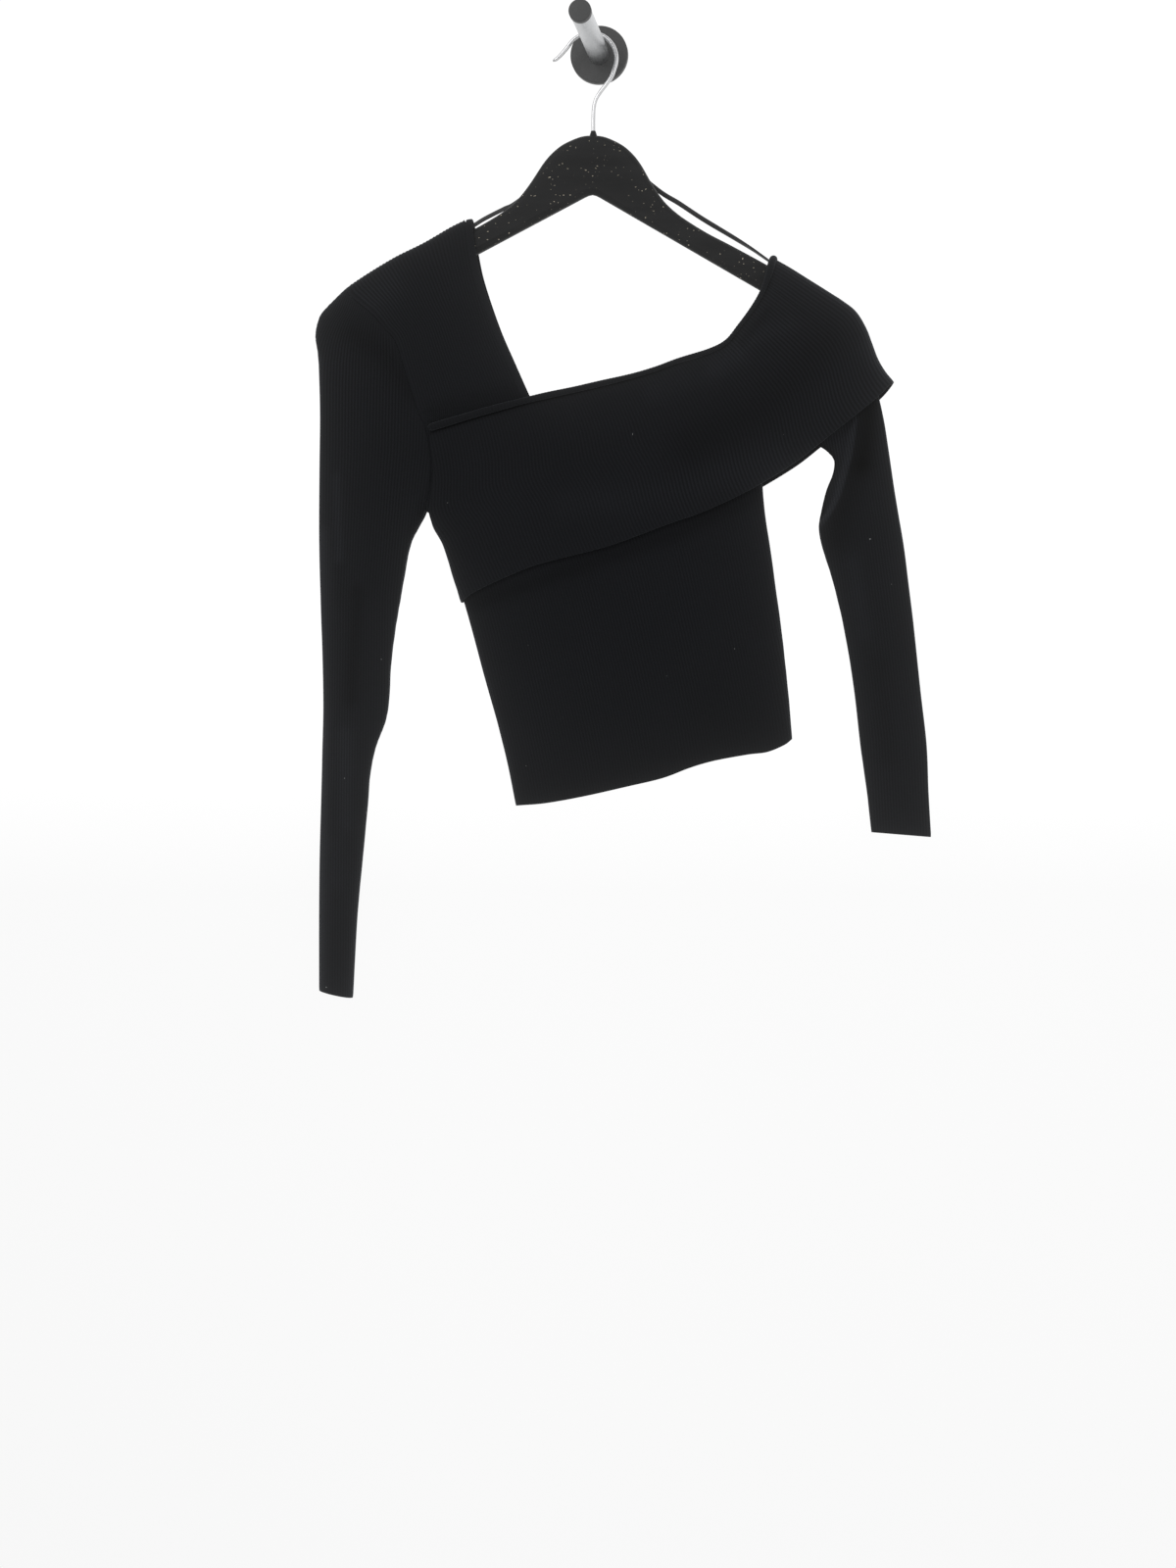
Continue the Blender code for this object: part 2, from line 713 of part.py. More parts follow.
def neck_trim(parent):
    """The narrow trim along the strap's neck edge, front, over the hanger and back."""
    edge = strap_edge()
    outward = -normals_2d(edge) * (TRIM_WIDTH / 2 + SEAM + 0.25)
    front = edge + outward
    front[0] += (front[1] - front[0]) * 0.2
    ridge = np.array(LEFT_RIDGE[-1]) - np.array(LEFT_RIDGE[-2])
    ridge /= np.linalg.norm(ridge)
    over = np.array([-ridge[1], ridge[0]])
    rows = [(*point, HALF_DEPTH) for point in front]
    for angle in (30.0, 60.0, 90.0):
        turn = math.radians(angle)
        plane = front[-1] + over * HALF_DEPTH * math.sin(turn)
        rows.append((*plane, HALF_DEPTH * max(math.cos(turn), 0.0)))
    half = np.array(rows)
    mirrored = half[:-1][::-1] * np.array([1.0, 1.0, -1.0])
    path = np.vstack([half, mirrored])
    side = np.array([ridge[0], ridge[1], 0.0])
    along = np.gradient(path, axis=0)
    along /= np.linalg.norm(along, axis=1)[:, None]
    face = np.cross(along, side)
    face /= np.linalg.norm(face, axis=1)[:, None]
    across = np.cross(face, along)
    side_corners = ((-0.5, -0.35), (-0.35, -0.5), (0.35, -0.5), (0.5, -0.35))
    corners = side_corners + tuple((-a, -b) for a, b in side_corners)
    sections = np.stack(
        [path + a * across * TRIM_WIDTH + b * face * TRIM_THICKNESS for a, b in corners], axis=1
    )
    return sweep("neck_trim", path, sections, "knit", parent)


def ribbon(name, points, parent):
    path = smooth_path(points, per_span=3)
    return flat_bar(name, path, RIBBON_WIDTH, RIBBON_THICKNESS, np.array([0.2, 0.5, -1.0]), "ribbon", parent)


def hanger_outline():
    upper = [tuple(point) for point in smooth_path(HANGER_UPPER_EDGE, per_span=2)]
    centre_x, centre_y = HANGER_END
    end = []
    for angle in range(50, -121, -17):
        turn = math.radians(angle)
        x = centre_x + HANGER_END_RADIUS * math.cos(turn)
        y = centre_y + HANGER_END_RADIUS * math.sin(turn)
        end.append((x, y))
    lower = []
    for across in (160.0, 120.0, 80.0, 40.0, 6.0):
        lower.append((across, -HANGER_VEE_DEPTH - HANGER_LOWER_SLOPE * across))
    lower.append((0.0, -HANGER_VEE_DEPTH - 1.2))
    right = upper + end + lower
    left = [(-x, y) for x, y in right[1:-1]][::-1]
    return hanger_edge_world(right + left)


def hanger(parent):
    outline = hanger_outline()
    half = HANGER_THICKNESS / 2
    mesh = bpy.data.meshes.new("hanger")
    count = len(outline)
    points = [place((x, y, side)) for side in (half, -half) for x, y in outline]
    faces = [tuple(range(count)), tuple(reversed(range(count, 2 * count)))]
    for index in range(count):
        beside = (index + 1) % count
        faces.append((index, beside, beside + count, index + count))
    mesh.from_pydata(points, [], faces)
    work = bmesh.new()
    work.from_mesh(mesh)
    bmesh.ops.recalc_face_normals(work, faces=work.faces)
    work.to_mesh(mesh)
    work.free()
    item = add_object("hanger", mesh, "black_wood", parent)
    edge = item.modifiers.new("rounded_edges", "BEVEL")
    edge.width = HANGER_EDGE_RADIUS * MM
    edge.segments = 3
    edge.limit_method = "ANGLE"
    edge.angle_limit = math.radians(60)
    return item


def hook_path():
    points = [(-35.6, -10.6), (-31.4, -8.0), (-27.0, -3.4)]
    for angle in range(148, -21, -12):
        turn = math.radians(angle)
        x = ARC_CENTRE[0] + ARC_RADIUS * math.cos(turn)
        y = ARC_CENTRE[1] + ARC_RADIUS * math.sin(turn)
        points.append((x, y))
    points += [(13.0, -25.0), (8.6, -31.2), (4.0, -37.0), (0.4, -42.6), (-1.4, -49.0)]
    points += [(STEM_ACROSS, -58.0), (STEM_ACROSS, -66.85)]
    plane = smooth_path(points, per_span=2)
    return np.column_stack([plane, np.zeros(len(plane))])


def hook(parent):
    path = hook_path()
    radii = np.full(len(path), WIRE_RADIUS)
    radii[0] = 1.0
    return round_bar("hook", path, radii, 10, np.array([0.0, 0.0, 1.0]), "chrome", parent)


def turned(name, profile, centre_y, sides, material_name, parent, axis_up=False):
    """A body of revolution: profile rows are radius and distance along its axis."""
    points = []
    for radius, along in profile:
        for step in range(sides):
            turn = 2 * math.pi * step / sides
            a, b = radius * math.cos(turn), radius * math.sin(turn)
            if axis_up:
                points.append(((STEM_ACROSS + a) * MM, (-HOOK_FROM_WALL + b) * MM, along * MM))
            else:
                points.append((a * MM, (centre_y - along) * MM, b * MM))
    faces = grid_faces(len(profile), sides, 0, True)
    faces.append(tuple(range(sides)))
    faces.append(tuple(range(len(points) - sides, len(points))))
    mesh = bpy.data.meshes.new(name)
    mesh.from_pydata(points, [], faces)
    work = bmesh.new()
    work.from_mesh(mesh)
    bmesh.ops.recalc_face_normals(work, faces=work.faces)
    work.to_mesh(mesh)
    work.free()
    return add_object(name, mesh, material_name, parent)


def peg(parent):
    rim = 1.5
    flange = [
        (FLANGE_RADIUS, 0.0),
        (FLANGE_RADIUS, FLANGE_THICKNESS - rim),
        (FLANGE_RADIUS - 0.45, FLANGE_THICKNESS - 0.45),
        (FLANGE_RADIUS - rim, FLANGE_THICKNESS),
    ]
    turned("peg_flange", flange, 0.0, 48, "dark_plastic", parent)
    rod_start = FLANGE_THICKNESS + SEAM
    turned("peg_rod", [(ROD_RADIUS, 0.0), (ROD_RADIUS, ROD_LENGTH)], -rod_start, 32, "aluminium", parent)
    cap = [
        (CAP_RADIUS, 0.0),
        (CAP_RADIUS, CAP_THICKNESS - 1.0),
        (CAP_RADIUS - 0.3, CAP_THICKNESS - 0.3),
        (CAP_RADIUS - 1.0, CAP_THICKNESS),
    ]
    turned("peg_cap", cap, -rod_start - ROD_LENGTH - SEAM, 32, "dark_plastic", parent)


def ferrule(parent):
    profile = [(3.4, -71.6), (3.4, -68.8), (2.6, -67.2)]
    turned("hook_ferrule", profile, 0.0, 16, "black_wood", parent, axis_up=True)


def build():
    clear_scene()
    root = bpy.data.objects.new("hung_sweater", None)
    bpy.context.scene.collection.objects.link(root)
    body_panel("body_front", 1, root)
    body_panel("body_back", -1, root)
    left_sleeve(root)
    right_sleeve(root)
    band(root)
    neck_roll(root)
    neck_trim(root)
    ribbon("hanging_loop_left", LEFT_RIBBON, root)
    ribbon("hanging_loop_right", RIGHT_RIBBON, root)
    hanger(root)
    hook(root)
    ferrule(root)
    peg(root)


build()
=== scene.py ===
"""The look of a black ribbed off-shoulder sweater on a wooden hanger, hung from a wall peg.

The cloth is worked out in millimetres in the plane in which it hangs, as in the part:
across (to the right, from the peg's axis), height (up, from the peg's axis) and depth
(out of that plane, towards the viewer).
"""
import math

import bmesh
import bpy
import numpy as np
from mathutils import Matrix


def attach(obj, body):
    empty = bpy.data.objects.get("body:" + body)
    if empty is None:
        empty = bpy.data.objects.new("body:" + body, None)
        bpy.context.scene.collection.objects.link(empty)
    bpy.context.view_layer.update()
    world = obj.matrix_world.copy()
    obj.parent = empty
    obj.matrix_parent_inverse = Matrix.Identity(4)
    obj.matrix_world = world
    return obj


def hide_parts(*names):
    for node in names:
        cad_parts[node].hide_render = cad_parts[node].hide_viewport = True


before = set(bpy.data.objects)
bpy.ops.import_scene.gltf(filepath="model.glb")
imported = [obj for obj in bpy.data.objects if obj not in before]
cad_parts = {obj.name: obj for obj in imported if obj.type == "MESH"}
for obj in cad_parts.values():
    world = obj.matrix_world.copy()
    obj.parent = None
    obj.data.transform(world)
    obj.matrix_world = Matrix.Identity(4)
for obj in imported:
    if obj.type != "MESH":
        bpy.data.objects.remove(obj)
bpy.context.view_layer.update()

MM = 0.001

# Peg
FLANGE_RADIUS = 24.0
FLANGE_THICKNESS = 6.0
ROD_RADIUS = 8.5
ROD_LENGTH = 121.4
CAP_RADIUS = 9.0
CAP_THICKNESS = 6.0
PEG_GAP = 0.3

# Hanger
HOOK_FROM_WALL = 28.0
WIRE_RADIUS = 1.75
ARC_CENTRE = (-4.5, -10.0)
ARC_RADIUS = 21.6
STEM_ACROSS = -2.0
HANGER_TOP = -72.0
HANGER_ROLL = math.radians(2.2)
HANGER_THICKNESS = 11.5
HANGER_EDGE_RADIUS = 5.0
HANGER_VEE_DEPTH = 48.5
HANGER_LOWER_SLOPE = 0.551
HANGER_VEE_ASIDE = 1.1
HANGER_END = (209.7, -155.7)
HANGER_END_RADIUS = 7.2

# Cloth solids of the part
CLOTH = 1.5
SEAM = 0.3
FOLD_GAP = 0.05
HALF_DEPTH = 8.0
SIDE_ROUND = 10.0
BAND_STEP = 2.2
RIBBON_WIDTH = 4.2
RIBBON_THICKNESS = 1.3
TRIM_WIDTH = 5.3
TRIM_THICKNESS = 2.4
TRIM_LAP = 0.1

# Knit
WALL = 1.1
RIB_HEIGHT = 0.42
COLUMNS_PER_RIB = 4
ROW_STEP = 2.8
SEAM_FADE = 2.0
RIM_RIB = 0.2
PLAIN = 0.3
SAME_PLACE = 1e-6
FOLD_DEPTH = 6.0
ALLOWANCE_DEPTH = 0.75
ALLOWANCE_SHIFT = 0.4
ALLOWANCE_RADIUS = 0.9

# Upper edge of the hanger's right half, from the stem outwards: across, height.
HANGER_UPPER_EDGE = [
    (0, -1), (8, -1.8), (15.4, -4.2), (24, -8.4), (30, -12.8), (35.4, -18.1), (40.5, -24.6),
    (45, -31.8), (50.3, -40.4), (56, -48.6), (62, -55.8), (70, -62.9), (80, -69.9), (97, -79.9),
    (115, -88.8), (138, -100.6), (161, -113), (183, -126), (198, -136.5),
]

# Side seams and armholes of the body: height is measured at each point, from the hem up.
# left across, left height, right across, right height, half depth
BODY_SECTIONS = [
    (-65.7, -624.3, 160.8, -569.8, 8.5), (-73, -588, 158.5, -541, 9), (-82.5, -551, 155.6, -512, 9.5),
    (-93, -514, 152, -480, 9.5), (-102, -481, 147.5, -447, 9), (-109.5, -455, 143, -414, 8.5),
    (-119, -425, 138.5, -384, 8), (-129, -397, 136.5, -352, 8), (-136, -384, 141, -333, 8),
]

# Left armhole from the underarm to the shoulder: across, height.
LEFT_ARMHOLE = [
    (-141.4, -380), (-136.8, -363), (-136.2, -344), (-137.6, -326), (-141.7, -309), (-147, -298.3),
    (-156.5, -269), (-165.6, -240.8), (-175.1, -229.2), (-184.8, -217.6), (-195.4, -208.8),
    (-204.6, -201.4),
]
LEFT_ARMHOLE_ROWS = (0.0, 2.0, 8.0, 28.0, 55.0, 83.5)
LEFT_STRAP_ROWS = (0.2, 0.42, 0.64, 0.82, 1.0)

# Right armhole, under the band: across, height.
RIGHT_ARMHOLE = [
    (150, -325), (147.5, -308), (149.5, -287), (158, -263), (171, -241), (187.6, -220.6),
]
RIGHT_ARMHOLE_ROWS = (0.0, 2.0, 8.0, 35.0, 72.0, 1000.0)

# Fold of the cloth over the photo-left arm of the hanger: across, height.
LEFT_RIDGE = [
    (-207, -193), (-189.5, -182), (-167, -169.3), (-143.2, -158.2), (-120.5, -145.8),
    (-106.8, -139.6),
]

# Neck edge of the left strap, inside the trim: across, height.
LEFT_NECK = [
    (-59.3, -290.5), (-72.3, -261.3), (-85.3, -231.2), (-98, -194), (-103.5, -170), (-106.6, -147.4),
]

# Rolled edge of the neck, centre line: across, height, radius.
NECK_ROLL = [
    (-138, -313, 2.9), (-97, -301.4, 2.85), (-53.4, -290.6, 2.65), (-12, -282.3, 2.4),
    (27.4, -273.8, 2.2), (50, -267.7, 2), (70.3, -260.6, 2), (94.5, -253.7, 1.9),
    (108.5, -246.4, 1.8), (118.5, -234.5, 1.8), (129.5, -220, 1.9), (137.8, -206, 2.2),
    (143, -192.5, 2.6),
]
ROLL_CROSSING = (146.3, -178.3, 2.9)

# Top of the main cloth from the left armhole round the neck to the right armhole:
# fraction of the ribs, across, height.
BODY_TOP = [
    (0.4, -59.3, -290.5), (0.48, -22, -284.6), (0.57, 20, -275.9), (0.66, 60, -265),
    (0.74, 94, -254.7), (0.8, 119, -234), (0.86, 145.7, -191.2),
]
STRAP_SHARE = 0.40
RIGHT_SHARE = 0.86

# Drop of the hem below a straight line from side to side: fraction, drop.
HEM_DROP = [
    (0, 0), (0.1, -3.6), (0.24, -5.6), (0.4, -6.2), (0.53, -6.3), (0.63, -3.2), (0.72, -2.3),
    (0.84, -3.9), (0.91, -5.7), (0.97, -3.4), (1, 0),
]

# Band: fold over the right shoulder, from the neck to the tip: across, height.
BAND_RIDGE = [
    (148.6, -179.6), (160, -186.4), (172, -194.2), (189.2, -205.4), (202.4, -214.2), (212.9, -223),
    (220.8, -236.2), (225.5, -248.5), (230.5, -261.8), (236.6, -272.3), (243.4, -280.6),
]

# Band: free lower edge, from the left side to the tip: across, height.
BAND_LOWER = [
    (-111.6, -456.2), (-96.2, -446.9), (-77.2, -438.2), (-50.7, -427.6), (-22.2, -420.2),
    (13.4, -411.4), (61.7, -394.2), (87.3, -385.6), (112.9, -374.6), (135.8, -363), (163.8, -346.2),
    (183, -331.6), (197.3, -320.2), (214.4, -307), (232, -292.8), (243.4, -280.6),
]

# Band: left edge, down the armhole seam and the side seam: across, height, share of full depth.
BAND_LEFT = [
    (-137.4, -317.4, 1), (-134.6, -340, 1), (-134.4, -360, 1), (-136.4, -373, 1),
    (-137.4, -381.6, 0.86), (-136, -390.5, 0.1), (-126.6, -409, 0.1), (-119.6, -431, 0.1),
    (-111.6, -456.2, 0.1),
]

# Sleeves, from the armhole to the cuff.
# outer across, outer height, inner across, inner height, half depth, roundness (0.5 flat, 1 oval),
# share of the armhole's shape
LEFT_SLEEVE = [
    (-217.6, -202.8, -145, -386, 8, 0.5, 0.92), (-226, -211, -147.4, -390.6, 8, 0.5, 0.84),
    (-231.3, -218.4, -150, -395.5, 8, 0.5, 0.75), (-234.4, -232.5, -154.8, -405, 8, 0.5, 0.6),
    (-232.2, -249, -158.2, -418, 8, 0.5, 0.45), (-231, -271, -160.9, -434, 8, 0.5, 0.32),
    (-230.4, -302, -164.6, -455, 8, 0.5, 0.2), (-230.8, -345, -168.8, -480, 8.5, 0.5, 0.1),
    (-231, -400, -172.2, -508, 9, 0.5, 0), (-230, -450, -173.4, -532, 9, 0.55, 0),
    (-228.4, -495, -176.4, -553, 9.5, 0.6, 0), (-227.6, -543, -185, -576, 10.5, 0.7, 0),
    (-228.6, -585, -189.6, -598, 11.5, 0.8, 0), (-229.4, -620, -191.6, -622, 12.5, 0.85, 0),
    (-230.6, -662, -195.4, -662, 13, 0.9, 0), (-231.1, -715, -200.6, -716, 13.5, 0.9, 0),
    (-231, -778.1, -204.5, -784.3, 14, 0.9, 0),
]
RIGHT_SLEEVE = [
    (206, -224.6, 163, -326.5, 8, 0.5, 0.85), (214.6, -238, 175, -328.4, 8, 0.5, 0.65),
    (218.5, -252, 183.6, -331, 8, 0.5, 0.45), (223.6, -267, 190.4, -335.4, 8, 0.5, 0.3),
    (230.6, -291.3, 196, -343, 8, 0.5, 0.15), (235, -311, 195, -354, 8, 0.5, 0),
    (238.6, -334, 189.6, -368, 8, 0.5, 0), (243, -364, 185.5, -385, 8, 0.5, 0),
    (246.8, -388, 183.7, -398, 8, 0.5, 0), (251.3, -415, 186.5, -414, 8, 0.5, 0),
    (255, -445, 195.1, -442, 8, 0.5, 0), (259.5, -482, 204, -480, 8, 0.5, 0),
    (264.5, -530, 211.9, -528, 8, 0.55, 0), (269.5, -575, 217.4, -576, 8, 0.6, 0),
    (271, -613, 222.4, -612, 8, 0.6, 0), (273.1, -649.4, 226.2, -645.6, 8, 0.6, 0),
]

# Hanging ribbons, from the neck edge to the foot of the hook: across, height, depth.
LEFT_RIBBON = [
    (-104.6, -146.2, 0), (-94.7, -139.2, -3), (-86, -133.8, -6.6), (-77.4, -129.4, -7.8),
    (-66, -123.6, -8), (-30, -97, -7.8), (-10, -78, -7), (-4.5, -74.5, -6.6),
]
LEFT_RIBBON_TWIST = [(0, 46), (40, 46), (70, 20), (200, 0)]
RIGHT_RIBBON = [
    (144.2, -180.8, 0), (136, -174.6, -1.2), (128, -168.6, -2.8), (113.9, -158.8, -6.6),
    (88, -142.4, -8), (68.4, -129, -8), (50.3, -117.2, -8), (20, -91, -7.8), (6, -78, -7),
    (1, -74.5, -6.6),
]
RIGHT_RIBBON_TWIST = [(0, 50), (14, 40), (34, 20), (60, 4), (220, -10)]


def arc_lengths(points):
    steps = np.linalg.norm(np.diff(points, axis=0), axis=1)
    return np.concatenate([[0.0], np.cumsum(steps)])


def smooth_path(points, per_span=12):
    """A Catmull-Rom curve through the points, as a fine polyline."""
    points = np.asarray(points, float)
    ends = np.vstack([2 * points[0] - points[1], points, 2 * points[-1] - points[-2]])
    rows = []
    for before, start, end, after in zip(ends, ends[1:], ends[2:], ends[3:]):
        for step in range(per_span):
            t = step / per_span
            curve = 2 * start + (end - before) * t
            curve += (2 * before - 5 * start + 4 * end - after) * t**2
            curve += (3 * start - before - 3 * end + after) * t**3
            rows.append(curve / 2)
    rows.append(points[-1])
    return np.array(rows)


def total_length(points):
    return arc_lengths(smooth_path(points)[:, :2])[-1]


def at_lengths(points, lengths):
    """Points of the smooth curve at these distances along it."""
    path = smooth_path(points)
    along = arc_lengths(path[:, :2])
    lengths = np.clip(lengths, 0.0, along[-1])
    return np.column_stack([np.interp(lengths, along, path[:, k]) for k in range(path.shape[1])])


def at_shares(points, shares):
    return at_lengths(points, np.asarray(shares) * total_length(points))


def read(table, at):
    """Values of a table of places and values, in between them too."""
    return np.interp(at, *zip(*table))


def quarter(distance, radius):
    """Rounding of a fold: 0 at the fold, 1 from one radius away."""
    x = np.clip(np.asarray(distance) / radius, 0.0, 1.0)
    return np.sqrt(1.0 - (1.0 - x) ** 2)


def unit(vectors):
    """The vectors, each made one long."""
    return vectors / np.maximum(np.linalg.norm(vectors, axis=-1, keepdims=True), 1e-9)


def normals_2d(points):
    """Unit normals to the left of a plane curve's direction."""
    along = unit(np.gradient(points, axis=0))
    return np.column_stack([-along[:, 1], along[:, 0]])


def beside(line, distance):
    """A plane curve moved to the left of its direction, by one distance or by one each."""
    return line + normals_2d(line) * distance


def straight(start, end, shares):
    """Points on the straight line from start to end, at shares of its length."""
    return start + (end - start) * shares[:, None]


def at_depth(plane, depth):
    """Points of the cloth's plane, moved to one depth or to one each."""
    return np.column_stack([plane, np.broadcast_to(depth, len(plane))])


def mirrored(points):
    """The same points at the back of the garment."""
    return points * np.array([1.0, 1.0, -1.0])


def place(points):
    """Metres in the part's frame, from across, height and depth in millimetres."""
    points = np.asarray(points, float)
    return np.stack([points[..., 0], -HOOK_FROM_WALL - points[..., 2], points[..., 1]], axis=-1) * MM


def smooth_step(x):
    x = np.clip(x, 0.0, 1.0)
    return x * x * (3.0 - 2.0 * x)


def hermite(x, rows, at):
    """Rows of a table at other places, on a smooth curve through them."""
    x = np.asarray(x, float)
    rows = np.asarray(rows, float)
    at = np.clip(at, x[0], x[-1])
    step = np.diff(x)[:, None]
    slope = np.diff(rows, axis=0) / step
    tangent = np.empty_like(rows)
    tangent[1:-1] = (slope[:-1] * step[1:] + slope[1:] * step[:-1]) / (step[1:] + step[:-1])
    tangent[0] = slope[0]
    tangent[-1] = slope[-1]
    low = np.clip(np.searchsorted(x, at, side="right") - 1, 0, len(x) - 2)
    h = step[low]
    s = (at - x[low])[:, None] / h
    return (
        rows[low] * (1 + 2 * s) * (1 - s) ** 2
        + rows[low + 1] * s**2 * (3 - 2 * s)
        + tangent[low] * h * s * (1 - s) ** 2
        + tangent[low + 1] * h * s**2 * (s - 1)
    )


def even_places(anchors, step):
    """Section numbers, with fractions, about one step of millimetres apart along the anchors."""
    travel = arc_lengths(np.asarray(anchors))
    count = int(math.ceil(travel[-1] / step))
    return np.interp(np.linspace(0.0, travel[-1], count + 1), travel, np.arange(len(travel)))


def fold_spaced(width, radius, middle):
    """Distances across a panel, close together where it rounds into the folds at its sides."""
    turn = np.radians(np.arange(0, 90, 7.5))
    near = radius * (1.0 - np.cos(turn))
    return np.concatenate([near, np.linspace(radius, width - radius, middle), width - near[::-1]])


def grid_normals(grid, sign):
    """Unit normals of a grid of points, on the side that faces away from the cloth's plane."""
    normals = unit(np.cross(np.gradient(grid, axis=1), np.gradient(grid, axis=0)))
    return normals if (normals[..., 2].mean() > 0) == (sign > 0) else -normals


def around_folds(ribs, depth, pitch):
    """Rib numbers along each row, counting the cloth's depth at its folds as well."""
    steps = np.hypot(np.diff(ribs, axis=1), np.diff(depth, axis=1) / pitch[:, None])
    total = np.column_stack([np.zeros(len(ribs)), np.cumsum(steps, axis=1)])
    middle = ribs.shape[1] // 2
    return total + (ribs - total)[:, middle : middle + 1]


def frames(along, up):
    """Unit side and up vectors for each direction along a path."""
    along = unit(along)
    side = unit(np.cross(along, up))
    return side, np.cross(side, along)


def rings(path, along, radii, sides, up):
    """Round sections, one about each point of a path."""
    side, above = frames(along, up)
    turns = (np.arange(sides) * 2 * math.pi / sides)[None, :, None]
    return path[:, None] + (np.cos(turns) * side[:, None] + np.sin(turns) * above[:, None]) * radii


def oblongs(path, across, face, width, thickness, square, sides):
    """Flat sections, each as square at its sides and its faces as these two powers say."""
    turns = np.arange(sides) * 2 * math.pi / sides
    wide, deep = (
        np.sign(wave) * np.abs(wave) ** power * size / 2
        for wave, power, size in zip((np.cos(turns), np.sin(turns)), square, (width, thickness))
    )
    return path[:, None] + wide[None, :, None] * across[:, None] + deep[None, :, None] * face[:, None]


def arc(centre, radius, degrees):
    """Points on a circle, at these angles."""
    turns = [math.radians(angle) for angle in degrees]
    return [(centre[0] + radius * math.cos(t), centre[1] + radius * math.sin(t)) for t in turns]


# ---- cloth with ribs


def rib_columns(numbers):
    low = math.floor(numbers.min()) * COLUMNS_PER_RIB
    high = math.ceil(numbers.max()) * COLUMNS_PER_RIB
    return np.arange(low, high + 1) / COLUMNS_PER_RIB


def at_numbers(values, numbers, wanted):
    """Values of each row, read at the wanted rib numbers."""
    made = np.empty((*wanted.shape, values.shape[2]))
    for row in range(len(wanted)):
        for part in range(values.shape[2]):
            made[row, :, part] = np.interp(wanted[row], numbers[row], values[row, :, part])
    return made


def stitch(first, first_at, second, second_at):
    """Triangles between two edges whose points lie at these places along them."""
    faces = []
    i = 0
    j = 0
    while i < len(first) - 1 or j < len(second) - 1:
        second_done = j == len(second) - 1
        if second_done or (i < len(first) - 1 and first_at[i + 1] <= second_at[j + 1]):
            faces.append((first[i], first[i + 1], second[j]))
            i += 1
        else:
            faces.append((first[i], second[j + 1], second[j]))
            j += 1
    return faces


def shared_numbers(at, end):
    """Vertex number of each grid point. Points at one place along a row share a vertex."""
    fresh = np.ones(at.shape, bool)
    fresh[:, 1:] = np.diff(at, axis=1) > SAME_PLACE
    if end is not None:
        fresh[:, 1:] &= at[:, 1:] < end[:, None] - SAME_PLACE
    numbers = np.cumsum(fresh).reshape(at.shape) - 1
    if end is not None:
        numbers = np.where(at >= end[:, None] - SAME_PLACE, numbers[:, :1], numbers)
    return numbers, fresh


def quads(numbers, around):
    beside = np.roll(numbers, -1, axis=1)
    corners = np.stack([numbers[:-1], beside[:-1], beside[1:], numbers[1:]], axis=-1)
    if not around:
        corners = corners[:, :-1]
    corners = corners.reshape(-1, 4)
    upper = corners[:, 0] == corners[:, 1]
    lower = corners[:, 2] == corners[:, 3]
    faces = corners[~upper & ~lower].tolist()
    faces += corners[upper & ~lower][:, [0, 2, 3]].tolist()
    faces += corners[lower & ~upper][:, [0, 1, 2]].tolist()
    return faces


class Cloth:
    """Points, faces and rib heights of one piece of cloth, gathered patch by patch."""

    def __init__(self):
        self.points = []
        self.ribs = []
        self.faces = []
        self.count = 0

    def hold(self, points, ribs):
        start = self.count
        self.points.append(points)
        self.ribs.append(ribs)
        self.count += len(points)
        return start

    def patch(self, outer, outer_at, ribs, inner, inner_at, end=None):
        """A sheet with an outer and an inner face, joined along its edges.

        Each face has its places along the rows. A tube has the place where each row meets its
        own start again, its end.
        """
        around = end is not None
        numbers, fresh = shared_numbers(outer_at, end)
        numbers += self.hold(outer[fresh], ribs[fresh])
        inside = np.arange(inner[..., 0].size).reshape(inner.shape[:2])
        inside += self.hold(inner.reshape(-1, 3), np.full(inside.size, PLAIN))
        self.faces += quads(numbers, around)
        self.faces += [face[::-1] for face in quads(inside, around)]
        for row in (0, -1):
            edge = numbers[row][fresh[row]].tolist()
            edge_at = outer_at[row][fresh[row]].tolist()
            back = inside[row].tolist()
            back_at = inner_at[row].tolist()
            if around:
                edge.append(edge[0])
                back.append(back[0])
                edge_at.append(end[row])
                back_at.append(end[row])
            self.faces += stitch(edge, edge_at, back, back_at)
        if not around:
            for side in (0, -1):
                a = numbers[:, side]
                b = inside[:, side]
                self.faces += np.stack([a[:-1], a[1:], b[1:], b[:-1]], axis=1).tolist()

    def finish(self, name, node, material, openness_or_groove_shade, painted_light_patches, more_painted_light=None):
        """The piece's mesh, with how strong the painted shade in its rib grooves is and the painted
        light and shade of its cloth at each point.
        """
        mesh = bpy.data.meshes.new(name)
        points = np.concatenate(self.points)
        mesh.from_pydata(place(points).tolist(), [], self.faces)
        # Painted shade in the rib grooves: a strength for the piece, stronger in listed patches.
        groove_shade = openness_or_groove_shade + patches(points, STRONGER_GROOVE_SHADE)
        # Painted light and shade: patches that make the cloth's colour lighter where it is lit more and
        # darker where it is shaded.
        painted_light = 1.0 + patches(points, painted_light_patches)
        if more_painted_light:
            painted_light += more_painted_light(points)
        store_number(mesh, "rib", 0.5 + (np.concatenate(self.ribs) - 0.5) * groove_shade)
        store_number(mesh, "painted_light", painted_light)
        return finish_mesh(mesh, name, node, "knit", material)


def store_number(mesh, name, values):
    made = mesh.attributes.new(name, "FLOAT", "POINT")
    made.data.foreach_set("value", np.asarray(values, np.float32))


def add_object(name, data):
    item = bpy.data.objects.new(name, data)
    bpy.context.scene.collection.objects.link(item)
    return item


